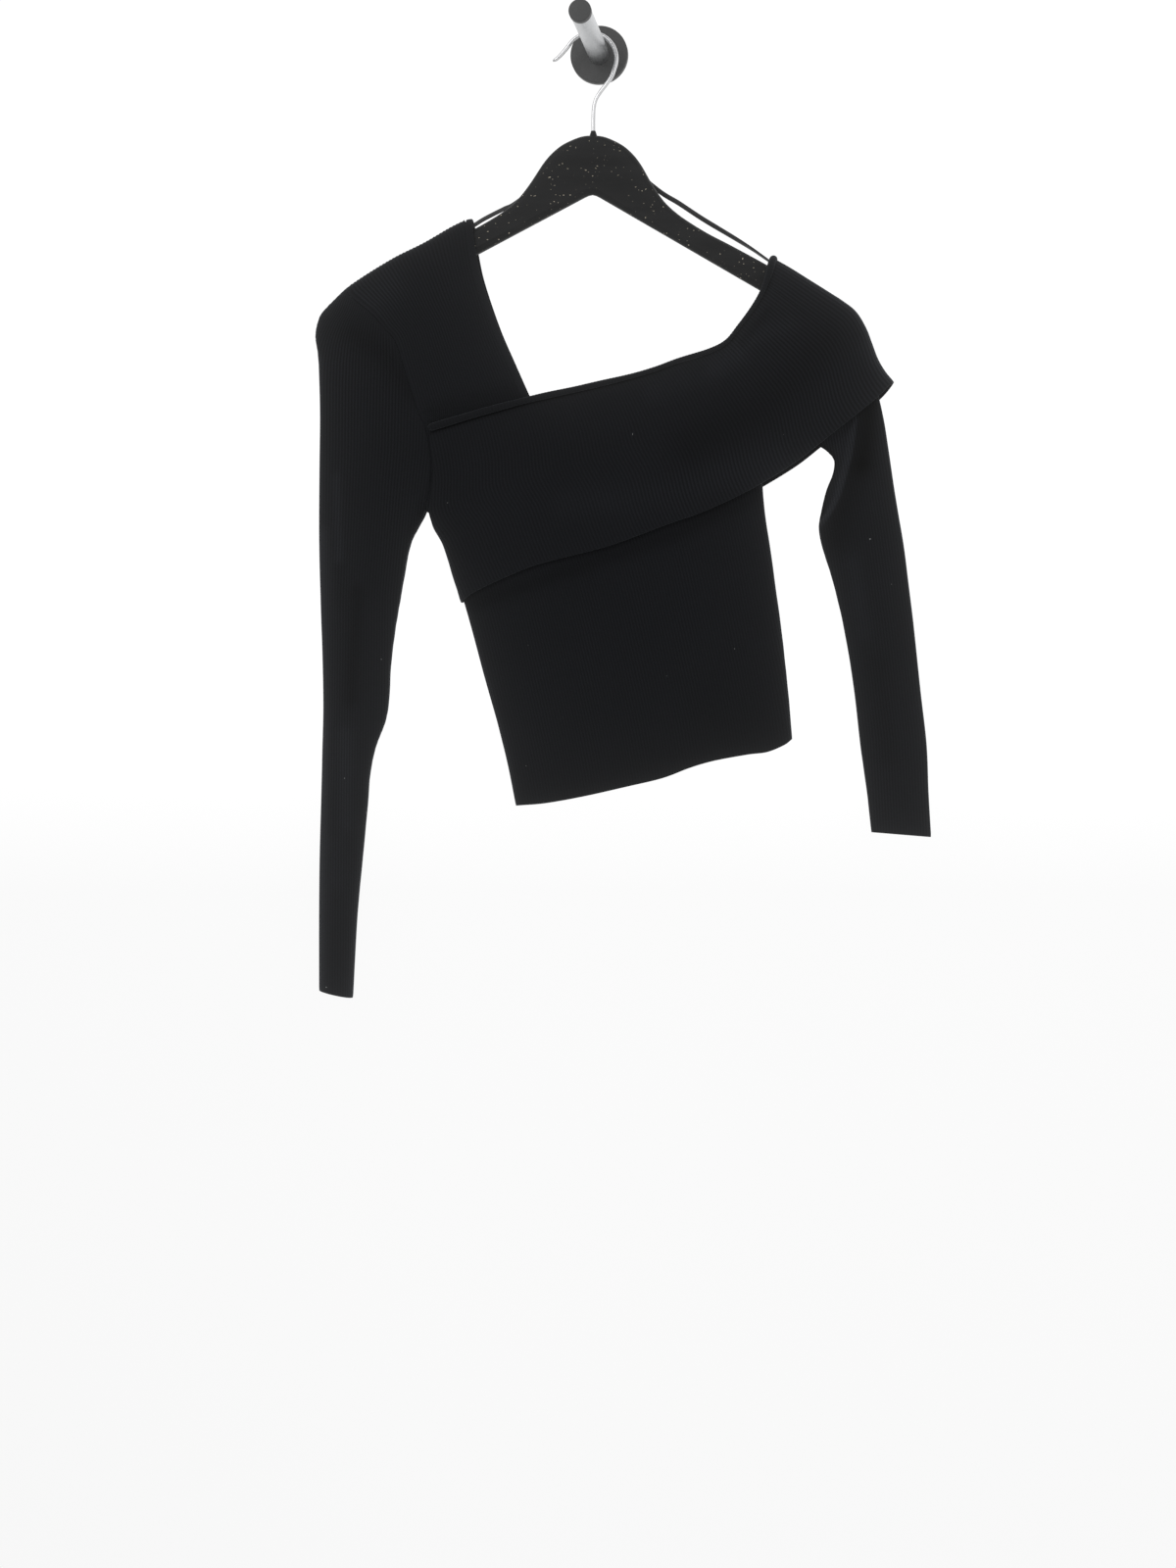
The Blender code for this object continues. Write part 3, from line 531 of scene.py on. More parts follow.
def finish_mesh(mesh, name, node, slot, material, sharp=50):
    work = bmesh.new()
    work.from_mesh(mesh)
    bmesh.ops.recalc_face_normals(work, faces=work.faces)
    work.to_mesh(mesh)
    work.free()
    mesh.materials.append(material)
    mesh.shade_smooth()
    mesh.set_sharp_from_angle(angle=math.radians(sharp))
    item = add_object(name, mesh)
    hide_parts(node)
    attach(item, "root")
    return item


def rib_shape(numbers, wanted, pitch, fades, row_fade):
    """Height of the ribs, from -0.5 in a groove to 0.5 on a rib, fading out at the seams."""
    height = np.cos(2 * math.pi * wanted) / 2
    for fade, away in zip(fades, (wanted - numbers[:, :1], numbers[:, -1:] - wanted)):
        if fade:
            height = height * smooth_step(away * pitch[:, None] / SEAM_FADE)
    return height * row_fade[:, None]


def ribbed(
    cloth, grid, sign, ribs, row_fade, relief=None, fades=(True, True), tube=None, inner_columns=56
):
    """A panel with a ribbed outer and a plain inner face, and its ribs' numbers and pitch.

    fades says at which sides it has a seam, where the ribs fade out. With tube="open" its mirror
    image follows it at the back, and with tube="closed" that joins its start again as well.
    """
    numbers, pitch = ribs
    normals = grid_normals(grid, sign)
    first, last = numbers[:, :1], numbers[:, -1:]
    at = np.clip(rib_columns(numbers)[None], first, last)
    both = at_numbers(np.concatenate([grid, normals], axis=2), numbers, at)
    shape = rib_shape(numbers, at, pitch, fades, row_fade)
    outer = both[..., :3] + unit(both[..., 3:]) * (WALL / 2 + RIB_HEIGHT * shape)[..., None]
    few = np.unique(np.linspace(0, grid.shape[1] - 1, inner_columns).astype(int))
    inner = grid[:, few] - normals[:, few] * WALL / 2
    inner_at = numbers[:, few]
    if tube:
        behind = np.s_[:, -2::-1]
        inner_behind = np.s_[:, -2:0:-1] if tube == "closed" else behind
        outer = np.hstack([outer, mirrored(outer[behind])])
        shape = np.hstack([shape, shape[behind]])
        at = np.hstack([at, 2 * last - at[behind]])
        inner = np.hstack([inner, mirrored(inner[inner_behind])])
        inner_at = np.hstack([inner_at, 2 * last - inner_at[inner_behind]])
    if relief:
        outer, inner = relief(outer), relief(inner)
    end = (2 * last - first)[:, 0] if tube == "closed" else None
    cloth.patch(outer, at, shape + 0.5, inner, inner_at, end)


def bead(cloth, path, radius, sides=8):
    """A closed round of seam allowance."""
    along = np.roll(path, -1, axis=0) - np.roll(path, 1, axis=0)
    points = rings(path, along, radius, sides, (0.3, 0.2, 1.0))
    index = np.arange(len(path) * sides).reshape(len(path), sides)
    index += cloth.hold(points.reshape(-1, 3), np.full(index.size, PLAIN))
    cloth.faces += quads(np.vstack([index, index[:1]]), True)


# ---- folds placed one by one


def trough(points, start, end, width, height, side):
    """A soft ridge or trough from start to end on one side of the cloth: its change of depth."""
    along = np.subtract(end, start)
    length = np.linalg.norm(along)
    along = along / length
    offset = points[..., :2] - start
    position = offset @ along
    aside = offset @ np.array([-along[1], along[0]])
    ends = smooth_step(1.0 - np.maximum(-position, position - length) / (1.5 * width))
    on_side = np.clip(points[..., 2] * side / FOLD_DEPTH, 0.0, 1.0)
    return side * height * on_side * ends * np.exp(-((aside / width) ** 2))


def patches(points, table):
    """Sum of soft patches along paths, each with a half width and a strength."""
    total = np.zeros(len(points))
    for path, width, strength in table:
        nearest = np.full(len(points), np.inf)
        for start, end in zip(np.array(path[:-1]), np.array(path[1:])):
            along = end - start
            offset = points[:, :2] - start
            share = np.clip(offset @ along / (along @ along), 0.0, 1.0)
            away = offset - share[:, None] * along
            nearest = np.minimum(nearest, (away**2).sum(axis=1))
        total += strength * np.exp(-nearest / width**2)
    return total


def fold_relief(table):
    def relief(points):
        moved = points.copy()
        moved[..., 2] += sum(trough(points, *row) for row in table)
        return moved

    return relief


# Folds of the body, band and roll:
# start, end, half width, height (minus for a trough), side (1 front, -1 back).
BODY_FOLDS = [
    ((52, -560), (66, -628), 12, 1.6, 1), ((84, -545), (98, -612), 10, -1.1, 1),
    ((10, -470), (34, -590), 20, 0.8, 1), ((150, -300), (176, -246), 14, 1.7, 1),
    ((122, -262), (150, -322), 12, -1.3, 1), ((60, -300), (80, -370), 16, -0.9, 1),
    ((-20, -320), (-4, -400), 22, 0.8, 1), ((-100, -340), (-84, -425), 14, 0.7, 1),
    ((-134, -262), (-112, -296), 10, -0.9, 1), ((-128, -176), (-92, -250), 14, 0.6, 1),
    ((60, -540), (80, -620), 12, 1.4, -1), ((-20, -480), (4, -590), 16, -1.2, -1),
    ((130, -300), (160, -240), 15, 1.5, -1), ((40, -310), (62, -380), 14, -1, -1),
    ((-70, -330), (-54, -420), 18, 0.9, -1),
]
LEFT_SLEEVE_FOLDS = [
    ((-221, -395), (-214, -470), 5, 1.6, 1), ((-210, -430), (-203, -520), 6, -1.8, 1),
    ((-196, -400), (-186, -470), 8, 1.2, 1), ((-222, -560), (-219, -660), 4.5, 0.9, 1),
    ((-212, -600), (-210, -700), 5, -1, 1), ((-190, -300), (-176, -360), 10, 0.9, 1),
    ((-216, -400), (-208, -480), 6, 1.5, -1), ((-200, -450), (-196, -540), 7, -1.6, -1),
    ((-214, -590), (-212, -690), 5, 1, -1),
]
RIGHT_SLEEVE_FOLDS = [
    ((206, -410), (213, -470), 5, 1.2, 1), ((222, -400), (232, -470), 7, -1.2, 1),
    ((234, -520), (240, -600), 8, 0.8, 1), ((214, -400), (224, -480), 7, 1.2, -1),
    ((228, -480), (236, -560), 8, -1, -1),
]

# Where the painted shade in the rib grooves is stronger, as over the hanger's ends: path, half width,
# how much stronger.
STRONGER_GROOVE_SHADE = [
    ([(-222, -262), (-205, -225), (-175, -190)], 48, 1.2),
    ([(166, -232), (205, -262), (226, -285)], 46, 1.6),
    ([(60, -372), (120, -352), (170, -322)], 22, 0.5),
]

# Painted light and shade on the cloth: painted highlights where it is lit more, painted shadows where it
# is lit less, as under the band:
# path, half width, share lighter (minus for darker).
BODY_PAINTED_LIGHT = [
    ([(-104, -459), (-20, -431), (64, -403), (142, -368)], 8, -0.32),
    ([(-60, -622), (40, -608), (156, -572)], 30, -0.26), ([(112, -545), (140, -520)], 34, -0.14),
    ([(-134, -298), (-54, -280)], 8, -0.22), ([(-192, -212), (-170, -194)], 13, 0.34),
]
BAND_PAINTED_LIGHT = [
    ([(50, -286), (94, -273)], 10, 0.26), ([(101, -267), (118, -257)], 9, 0.5),
    ([(128, -246), (160, -233)], 7, 0.26), ([(121, -247), (142, -222)], 3.5, -0.3),
    ([(192, -246), (139, -300), (78, -332)], 20, -0.32),
    ([(-22, -376), (59, -371), (147, -342)], 15, 0.24), ([(-120, -330), (-118, -420)], 24, -0.08),
    ([(222, -254), (238, -280)], 8, 0.25),
]
LEFT_SLEEVE_PAINTED_LIGHT = [
    ([(-202, -233), (-173, -252), (-150, -280)], 12, -0.36),
    ([(-231.5, -255), (-231.5, -380)], 4, 0.45),
    ([(-231, -400), (-229.5, -500), (-229, -600), (-231.5, -775)], 7, 0.85),
    ([(-215.5, -352), (-213.5, -420)], 4, 0.5), ([(-198, -448), (-203, -536)], 7, -0.42),
    ([(-208, -566), (-207.5, -639)], 8, 0.5), ([(-213, -655), (-214, -688)], 8, 0.25),
]
RIGHT_SLEEVE_PAINTED_LIGHT = [
    ([(226, -292), (219, -345)], 11, -0.85), ([(211, -356), (195, -408)], 13, -0.45),
    ([(212, -428), (220, -483)], 7, 0.34), ([(230, -511), (238, -583)], 11, -0.22),
]
# Painted light on the right sleeve's underarm strip, inside its fold line.
STRIP_PAINTED_LIGHT = 1.3

# Fold line of the right sleeve, down which its underarm turns back: across, height.
UNDERARM_FOLD = [
    (216, -296), (214.3, -307.6), (211.8, -331), (207.4, -351.6), (199.1, -376.9), (186, -399),
]
UNDERARM_DROP = 6.0
UNDERARM_RIDGE = 1.2
UNDERARM_FOOT = -402.0
UNDERARM_REACH = 9.0


def underarm(points):
    """Distance inside the fold line, and how far the underarm is turned there, on the front."""
    path = smooth_path(UNDERARM_FOLD)
    fold_x = np.interp(-points[..., 1], -path[:, 1], path[:, 0])
    foot = smooth_step((points[..., 1] - UNDERARM_FOOT) / 16.0)
    return fold_x - points[..., 0], foot * np.clip(points[..., 2] / 4.0, 0.0, 1.0)


def right_sleeve_relief(points):
    """The folds, and the underarm that falls away behind its fold line."""
    moved = fold_relief(RIGHT_SLEEVE_FOLDS)(points)
    inside, share = underarm(points)
    top = smooth_step((UNDERARM_FOLD[0][1] - points[..., 1]) / 12.0)
    drop = UNDERARM_DROP * smooth_step(inside / UNDERARM_REACH)
    ridge = UNDERARM_RIDGE * np.exp(-((inside + 3.0) / 4.0) ** 2)
    moved[..., 2] += (ridge - drop) * share * top
    return moved


# Painted light on the underarm strip inside the fold line, on the front.
def underarm_painted_light(points):
    inside, share = underarm(points)
    return STRIP_PAINTED_LIGHT * smooth_step(inside / 2.5 + 0.5) * share


# ---- front and back

BODY_PITCH = [(0, 2.4), (5, 2.45), (9, 2.53), (14, 2.53)]
BODY_MIDDLE = [(0, 0.5), (9, 0.469), (14, 0.469)]
BODY_TOP_INDEX = 14
UNDERARM_INDEX = 9
STRAP_RIBS = 36
STRAP_ROWS = 56
STRAP_COLUMNS = 60
BODY_COLUMNS = 90
SHOULDER_FOOT = 0.82
RIDGE_START = 120.0
RIDGE_CLEARANCE = CLOTH / 2 + 2.9


def hanger_edge_world(edge):
    """The hanger's own across and height, turned with it and put in the cloth's plane."""
    cos, sin = math.cos(HANGER_ROLL), math.sin(HANGER_ROLL)
    return np.asarray(edge, float) @ np.array([[cos, -sin], [sin, cos]]) + (STEM_ACROSS, HANGER_TOP)


def right_ridge():
    """Fold of the main cloth over the right arm: the arm's upper edge, moved out."""
    edge = hanger_edge_world(smooth_path(HANGER_UPPER_EDGE, per_span=2))
    shown = edge[edge[:, 0] > RIDGE_START]
    return beside(shown, RIDGE_CLEARANCE)


def right_stations():
    """Distances up the right armhole, none past its end."""
    return np.minimum(RIGHT_ARMHOLE_ROWS, total_length(RIGHT_ARMHOLE))


def body_sections():
    """Rows of the main cloth: section number, both ends, depth and how closed its sides are."""
    lower = np.array([*BODY_SECTIONS, (*LEFT_ARMHOLE[0], *RIGHT_ARMHOLE[0], HALF_DEPTH)])
    numbers = even_places((lower[:, :2] + lower[:, 2:4]) / 2, ROW_STEP)
    rows = hermite(np.arange(len(lower)), lower, numbers)
    above = np.arange(UNDERARM_INDEX, BODY_TOP_INDEX + 0.01, 0.25)[1:]
    stations = np.arange(UNDERARM_INDEX, BODY_TOP_INDEX + 1)
    rise = np.interp(above, stations, LEFT_ARMHOLE_ROWS)
    left = at_lengths(LEFT_ARMHOLE, rise)
    right = at_lengths(RIGHT_ARMHOLE, np.interp(above, stations, right_stations()))
    closed = np.concatenate([np.ones(len(rows)), 1.0 - quarter(rise, SIDE_ROUND)])
    rows = np.vstack([rows, at_depth(np.hstack([left, right]), HALF_DEPTH)])
    return np.concatenate([numbers, above]), np.column_stack([rows, closed])


def body_top(shares, left, right):
    """Upper edge of the main cloth, from the left armhole round the neck to the right one."""
    known = np.array(BODY_TOP)
    strap_foot = known[0, 1:]
    ridge = right_ridge()
    inner_ridge = beside(ridge, -HALF_DEPTH)
    neck = hermite(known[:, 0], known[:, 1:], shares)
    strap_part = straight(left, strap_foot, shares / STRAP_SHARE)
    x = np.interp(shares, (RIGHT_SHARE, 1.0), (known[-1, 1], right[0]))
    shoulder = np.column_stack([x, np.interp(x, inner_ridge[:, 0], inner_ridge[:, 1])])
    top = np.where(shares[:, None] <= STRAP_SHARE, strap_part, neck)
    top = np.where(shares[:, None] > RIGHT_SHARE, shoulder, top)
    top[-1] = right
    return top


def body_grid(sign):
    """The main cloth's half, with its ribs' numbers and pitch."""
    numbers, sections = body_sections()
    left_top, right_top = sections[-1, :2], sections[-1, 2:4]
    drop = smooth_path(HEM_DROP, per_span=6)
    grid = []
    ribs = []
    for number, (lx, lz, rx, rz, depth, closed) in zip(numbers, sections):
        height = number / BODY_TOP_INDEX
        left, right = np.array([lx, lz]), np.array([rx, rz])
        width = np.linalg.norm(right - left)
        distances = fold_spaced(width, SIDE_ROUND, BODY_COLUMNS)
        shares = distances / width
        top = body_top(shares, left_top, right_top)
        rise = top - straight(left_top, right_top, shares)
        plane = straight(left, right, shares) + rise * height**3
        plane[:, 1] += np.interp(shares, drop[:, 0], drop[:, 1]) * (1.0 - height) ** 3
        rounding = 1.0 - closed * (1.0 - quarter(distances, SIDE_ROUND))
        rounding *= 1.0 - closed * (1.0 - quarter(width - distances, SIDE_ROUND))
        grid.append(at_depth(plane, sign * np.maximum(depth * rounding, FOLD_GAP)))
        ribs.append((shares - read(BODY_MIDDLE, number)) * width / read(BODY_PITCH, number))
    grid = np.array(grid)
    pitch = read(BODY_PITCH, numbers)
    return grid, (around_folds(np.array(ribs), grid[..., 2], pitch), pitch)


def over_ridge(grid, outward, sign):
    """The grid, with rows added that carry the cloth over the hanger's arm."""
    rows = []
    for turn in np.radians(np.arange(10, 91, 10)):
        plane = grid[-1, :, :2] + outward * HALF_DEPTH * math.sin(turn)
        rows.append(at_depth(plane, sign * max(HALF_DEPTH * math.cos(turn), FOLD_GAP)))
    return np.concatenate([grid, rows])


def strap_grid(sign):
    """The left strap, from the neck's level up to the fold over the hanger's arm."""
    shares = np.linspace(0.0, 1.0, STRAP_ROWS)
    left = at_lengths(LEFT_ARMHOLE, strap_lengths(shares))
    right = at_shares(LEFT_NECK, shares)
    across = np.linspace(0.0, 1.0, STRAP_COLUMNS)
    ridge = at_shares(LEFT_RIDGE, across)
    outward = normals_2d(ridge)
    top = ridge - outward * HALF_DEPTH
    top[0] = left[-1]
    top[-1] = right[-1]
    high = top - straight(top[0], top[-1], across)
    rows = []
    for share, start, end in zip(shares, left, right):
        plane = straight(start, end, across) + high * share
        rows.append(at_depth(plane, sign * HALF_DEPTH))
    grid = over_ridge(np.array(rows), outward, sign)
    pitch = np.linalg.norm(grid[:, -1, :2] - grid[:, 0, :2], axis=1) / STRAP_RIBS
    return grid, (np.tile(across * STRAP_RIBS, (len(grid), 1)), pitch)


def strap_lengths(shares):
    """Distances up the left armhole, from shares of its part beside the strap."""
    foot = LEFT_ARMHOLE_ROWS[-1]
    return foot + (total_length(LEFT_ARMHOLE) - foot) * np.asarray(shares)


def shoulder_grid(body, sign):
    """The main cloth's plain end under the band, over the right arm."""
    foot = body[-3:, int(body.shape[1] * SHOULDER_FOOT) :]
    return over_ridge(foot, normals_2d(foot[-1, :, :2]), sign)


def body_piece(name, node, sign, material):
    cloth = Cloth()
    relief = fold_relief(BODY_FOLDS)
    grid, ribs = body_grid(sign)
    fade = np.ones(len(grid))
    fade[0] = RIM_RIB
    ribbed(cloth, grid, sign, ribs, fade, relief)
    strap, strap_ribs = strap_grid(sign)
    ribbed(cloth, strap, sign, strap_ribs, np.ones(len(strap)), relief)
    shoulder = shoulder_grid(grid, sign)
    rows = len(shoulder)
    plain = np.tile(np.linspace(0.0, 12.0, shoulder.shape[1]), (rows, 1)), np.full(rows, 3.0)
    ribbed(cloth, shoulder, sign, plain, np.zeros(rows))
    return cloth.finish(name, node, material, 0.6, BODY_PAINTED_LIGHT)


# ---- sleeves

SLEEVE_GAP = 0.55
SHOULDER_GAP = 1.3
# From the cuff up: height, and how far across the line is that the ribs are counted from.
LEFT_SLEEVE_LINE = [
    (-800, -231.5), (-330, -230.5), (-273, -230.4), (-257, -229.6), (-244, -227.4), (-234.5, -224.4),
    (-224, -219.5), (-214.6, -213.5), (-195, -206),
]
RIGHT_SLEEVE_LINE = [(-660, 274), (-570, 269.5), (-480, 259), (-400, 248), (-300, 233), (-200, 214)]
# From the cuff up: height, and the ribs' pitch.
LEFT_SLEEVE_PITCH = [
    (-800, 2.11), (-450, 2.2), (-330, 2.6), (-264, 2.66), (-248, 2.56), (-233.5, 2.35), (-219, 2.05),
    (-205, 1.9),
]
RIGHT_SLEEVE_PITCH = [(-660, 2.28), (-400, 2.28), (-200, 2.5)]


def armhole_ring(points, stations, outward, side):
    """The sleeve's first section, from the shoulder's fold down to the underarm.

    Returns its points and each one's number along the part's own section.
    """
    near = SIDE_ROUND * (1.0 - np.cos(np.radians(np.arange(0, 90, 10))))
    lengths = np.concatenate([near, np.linspace(SIDE_ROUND, stations[-1], 44)])
    curve = at_lengths(points, lengths)
    away = side * (SLEEVE_GAP + SHOULDER_GAP * (1.0 - quarter(lengths, 2 * SIDE_ROUND)))
    depths = HALF_DEPTH * quarter(lengths, SIDE_ROUND)
    flat = at_depth(beside(curve, -away[:, None]), depths)[::-1]
    flat_numbers = 2 + len(stations) - np.interp(lengths[::-1], stations, np.arange(len(stations)))
    angles = np.arange(90, 0, -7.5)
    turns = np.radians(angles)
    plane = np.add(points[-1], (0.5 * side, -0.3)) + outward * HALF_DEPTH * np.sin(turns)[:, None]
    over = at_depth(plane, HALF_DEPTH * np.cos(turns))
    over[0, 2] = 0.0
    return np.vstack([over, flat]), np.concatenate([(90 - angles) / 30, flat_numbers])


def sleeve_grid(first, numbers, table):
    """Front half of a tube: each row runs from its outer fold to the inner one."""
    turn = numbers / numbers[-1] * math.pi
    even = (1.0 - np.cos(turn)) / 2
    lengths = arc_lengths(first[:, :2])
    own = lengths / lengths[-1]
    bend = first[:, :2] - straight(first[0, :2], first[-1, :2], own)
    own_depth = first[:, 2] / HALF_DEPTH
    rows = np.array([(*first[0, :2], *first[-1, :2], HALF_DEPTH, 0.5, 1.0), *table])
    places = even_places(rows[:, [1, 3]] / math.sqrt(2), ROW_STEP)
    grid = []
    for ox, oz, ix, iz, depth, roundness, shape in hermite(np.arange(len(rows)), rows, places):
        shares = own * shape + even * (1.0 - shape)
        plane = straight(np.array([ox, oz]), np.array([ix, iz]), shares)
        oval = np.maximum(np.sin(turn), 0.0) ** roundness
        profile = own_depth * shape + oval * (1.0 - shape)
        profile[[0, -1]] = 0.0
        grid.append(at_depth(plane + bend * shape, depth * profile))
    return np.array(grid)


def sleeve_ribs(grid, line, pitches, side):
    """Rib numbers and pitch, counted from a line down the sleeve, across it."""
    pitch = read(pitches, grid[..., 1])
    ribs = side * (read(line, grid[..., 1]) - grid[..., 0]) / pitch
    middle_pitch = pitch[:, grid.shape[1] // 2]
    ribs = np.maximum.accumulate(ribs, axis=1)
    return around_folds(ribs, grid[..., 2], middle_pitch), middle_pitch


def sleeve(side, armhole, stations, outward, table, line, pitches, relief):
    """A sleeve's cloth, with its seam allowance inside. side is -1 at the left and 1 at the right."""
    grid = sleeve_grid(*armhole_ring(armhole, stations, outward, side), table)
    row_fade = smooth_step(np.arange(len(grid)) / 1.5)
    row_fade[-1] = RIM_RIB
    cloth = Cloth()
    ribs = sleeve_ribs(grid, line, pitches, side)
    ribbed(cloth, grid, 1, ribs, row_fade, relief, (False, True), "closed", 30)
    inside = grid[0] - grid_normals(grid, 1)[0] * ALLOWANCE_DEPTH
    inside += unit(grid[0] - grid[1]) * ALLOWANCE_SHIFT
    inside[[0, -1], 2] = 0.0
    bead(cloth, np.concatenate([inside, mirrored(inside[-2:0:-1])]), ALLOWANCE_RADIUS)
    return cloth


def left_sleeve(material):
    stations = np.array([*LEFT_ARMHOLE_ROWS, *strap_lengths(LEFT_STRAP_ROWS)])
    outward = normals_2d(at_shares(LEFT_RIDGE, [0.0, 0.02]))[0]
    shape = (LEFT_SLEEVE, LEFT_SLEEVE_LINE, LEFT_SLEEVE_PITCH, fold_relief(LEFT_SLEEVE_FOLDS))
    cloth = sleeve(-1, LEFT_ARMHOLE, stations, outward, *shape)
    return cloth.finish("knit_sleeve_left", "sleeve_left", material, 0.95, LEFT_SLEEVE_PAINTED_LIGHT)


def right_sleeve(material):
    shape = (RIGHT_SLEEVE, RIGHT_SLEEVE_LINE, RIGHT_SLEEVE_PITCH, right_sleeve_relief)
    cloth = sleeve(1, RIGHT_ARMHOLE, right_stations(), normals_2d(right_ridge())[-1], *shape)
    painted_light_patches = RIGHT_SLEEVE_PAINTED_LIGHT
    return cloth.finish("knit_sleeve_right", "sleeve_right", material, 0.9, painted_light_patches, underarm_painted_light)


# ---- band, roll and trim

BAND_RIBS = 129
BAND_COLUMNS = 150


def roll_path(per_span=12):
    """Centre line and radii of the rolled neck edge: front, over the right arm, and back."""
    front = smooth_path(NECK_ROLL, per_span)
    reach = HALF_DEPTH + CLOTH / 2 + SEAM + front[:, 2]
    *crossing, crossing_radius = ROLL_CROSSING
    below = np.linalg.norm(front[:, :2] - crossing, axis=1)
    towards = (crossing - front[-1, :2]) / below[-1]
    turns = np.radians(np.arange(10, 90, 8.0))
    plane = crossing - towards * reach[-1] * (1.0 - np.sin(turns))[:, None]
    between = at_depth(plane, reach[-1] * np.cos(turns))
    half = np.vstack([at_depth(front[:, :2], reach * quarter(below, reach)), between])
    radii = np.concatenate([front[:, 2], np.full(len(turns), crossing_radius)])
    path = np.vstack([half, [(*crossing, 0.0)], mirrored(half[::-1])])
    return path, np.concatenate([radii, [crossing_radius], radii[::-1]]), front


def band_rib_places(level, numbers):
    """Share of the row at which each rib, counted along the upper edge, crosses it."""
    upper = numbers / BAND_RIBS
    lower = 0.04 + 0.89 * upper + 0.07 * upper**3
    return upper + (lower - upper) * level


def band_grid():
    """The band's front half, with its ribs' numbers and pitch."""
    left_rows = np.array(BAND_LEFT)
    ends = arc_lengths(left_rows[:, :2])
    stations = ends / ends[-1]
    levels = np.linspace(0.0, 1.0, int(ends[-1] / ROW_STEP) + 1)
    left = hermite(stations, left_rows, levels)
    left[:, 2] = np.interp(levels, stations, left_rows[:, 2])
    right = at_shares(BAND_RIDGE, levels)
    front = roll_path()[2]
    upper = beside(front[:, :2], -0.95 * front[:, 2:3] - 0.35)
    upper = np.vstack([upper[:-6], [BAND_RIDGE[0]]])
    numbers = np.arange(-8, BAND_RIBS + 0.01, 0.25)
    grid = []
    ribs = []
    for level, (*start, openness_or_groove_shade), end in zip(levels, left, right):
        reach = HALF_DEPTH + BAND_STEP + 2.0 * level**2
        width = np.linalg.norm(end - start)
        shares = fold_spaced(width, reach, BAND_COLUMNS) / width
        top = at_shares(upper, shares)
        bottom = at_shares(BAND_LOWER, shares)
        high = top - straight(top[0], top[-1], shares)
        low = bottom - straight(bottom[0], bottom[-1], shares)
        plane = straight(start, end, shares) + high * (1.0 - level) + low * level
        along = arc_lengths(plane)
        rounding = quarter(along[-1] - along, reach)
        rounding *= 1.0 - (1.0 - quarter(along, SIDE_ROUND + BAND_STEP)) * (1.0 - openness_or_groove_shade)
        grid.append(at_depth(plane, reach * rounding))
        ribs.append(np.interp(shares, band_rib_places(level, numbers), numbers))
    grid = np.array(grid)
    width = arc_lengths(grid[len(grid) // 2][:, :2])[-1]
    pitch = np.full(len(grid), width / BAND_RIBS)
    return grid, (around_folds(np.array(ribs), grid[..., 2], pitch), pitch)


def band(material):
    """The fold-over band: across the front, round the right shoulder and across the back."""
    grid, ribs = band_grid()
    fade = np.ones(len(grid))
    fade[-1] = RIM_RIB
    cloth = Cloth()
    ribbed(cloth, grid, 1, ribs, fade, fold_relief(BODY_FOLDS), (True, False), "open", 60)
    return cloth.finish("knit_band", "band", material, 0.7, BAND_PAINTED_LIGHT, groove_painted_shade)


def groove_painted_shade(points):
    """The painted shade between the band and the roll along its upper edge."""
    front = roll_path()[2]
    line = beside(front[:, :2], -front[:, 2:3] - 0.8)
    return patches(points, [(line[::6], 1.2, -0.5)])


def sweep(name, node, slot, sections, material, ribs=None):
    """A closed bar through rings of points."""
    rows, sides = sections.shape[:2]
    index = np.arange(rows * sides).reshape(rows, sides)
    faces = quads(index, True)
    faces.append(index[0][::-1].tolist())
    faces.append(index[-1].tolist())
    mesh = bpy.data.meshes.new(name)
    mesh.from_pydata(place(sections.reshape(-1, 3)).tolist(), [], faces)
    if ribs is not None:
        # Rib values for the painted shade in the grooves, and no painted light or shade patches.
        store_number(mesh, "rib", np.repeat(ribs, sides))
        store_number(mesh, "painted_light", np.ones(len(mesh.vertices)))
    return finish_mesh(mesh, name, node, slot, material)


def even_path(path, values, step):
    """The path and its values, resampled at even steps."""
    along = arc_lengths(path)
    places = np.linspace(0.0, along[-1], int(along[-1] / step) + 1)
    columns = [np.interp(places, along, path[:, k]) for k in range(3)]
    return np.column_stack(columns), np.interp(places, along, values), places


ROLL_RIB = 2.6
ROLL_RIB_HEIGHT = 0.16


def neck_roll(material):
    path, radii, _ = roll_path()
    path, radii, places = even_path(path, radii, ROLL_RIB / 4)
    wave = np.cos(2 * math.pi * places / ROLL_RIB)
    ends = smooth_step(np.minimum(places, places[-1] - places) / 3.0)
    uneven = 1.0 + 0.05 * np.sin(places / 17.0) + 0.04 * np.sin(places / 7.3)
    radii = radii * uneven * (0.55 + 0.45 * ends) + wave * ROLL_RIB_HEIGHT / 2
    points = rings(path, np.gradient(path, axis=0), radii[:, None, None], 14, (0.25, -1.0, 0.1))
    points = fold_relief(BODY_FOLDS)(points)
    # The rib values paint shade into the roll's grooves.
    return sweep("knit_neck_roll", "neck_roll", "knit", points, material, 0.34 + 0.22 * wave)


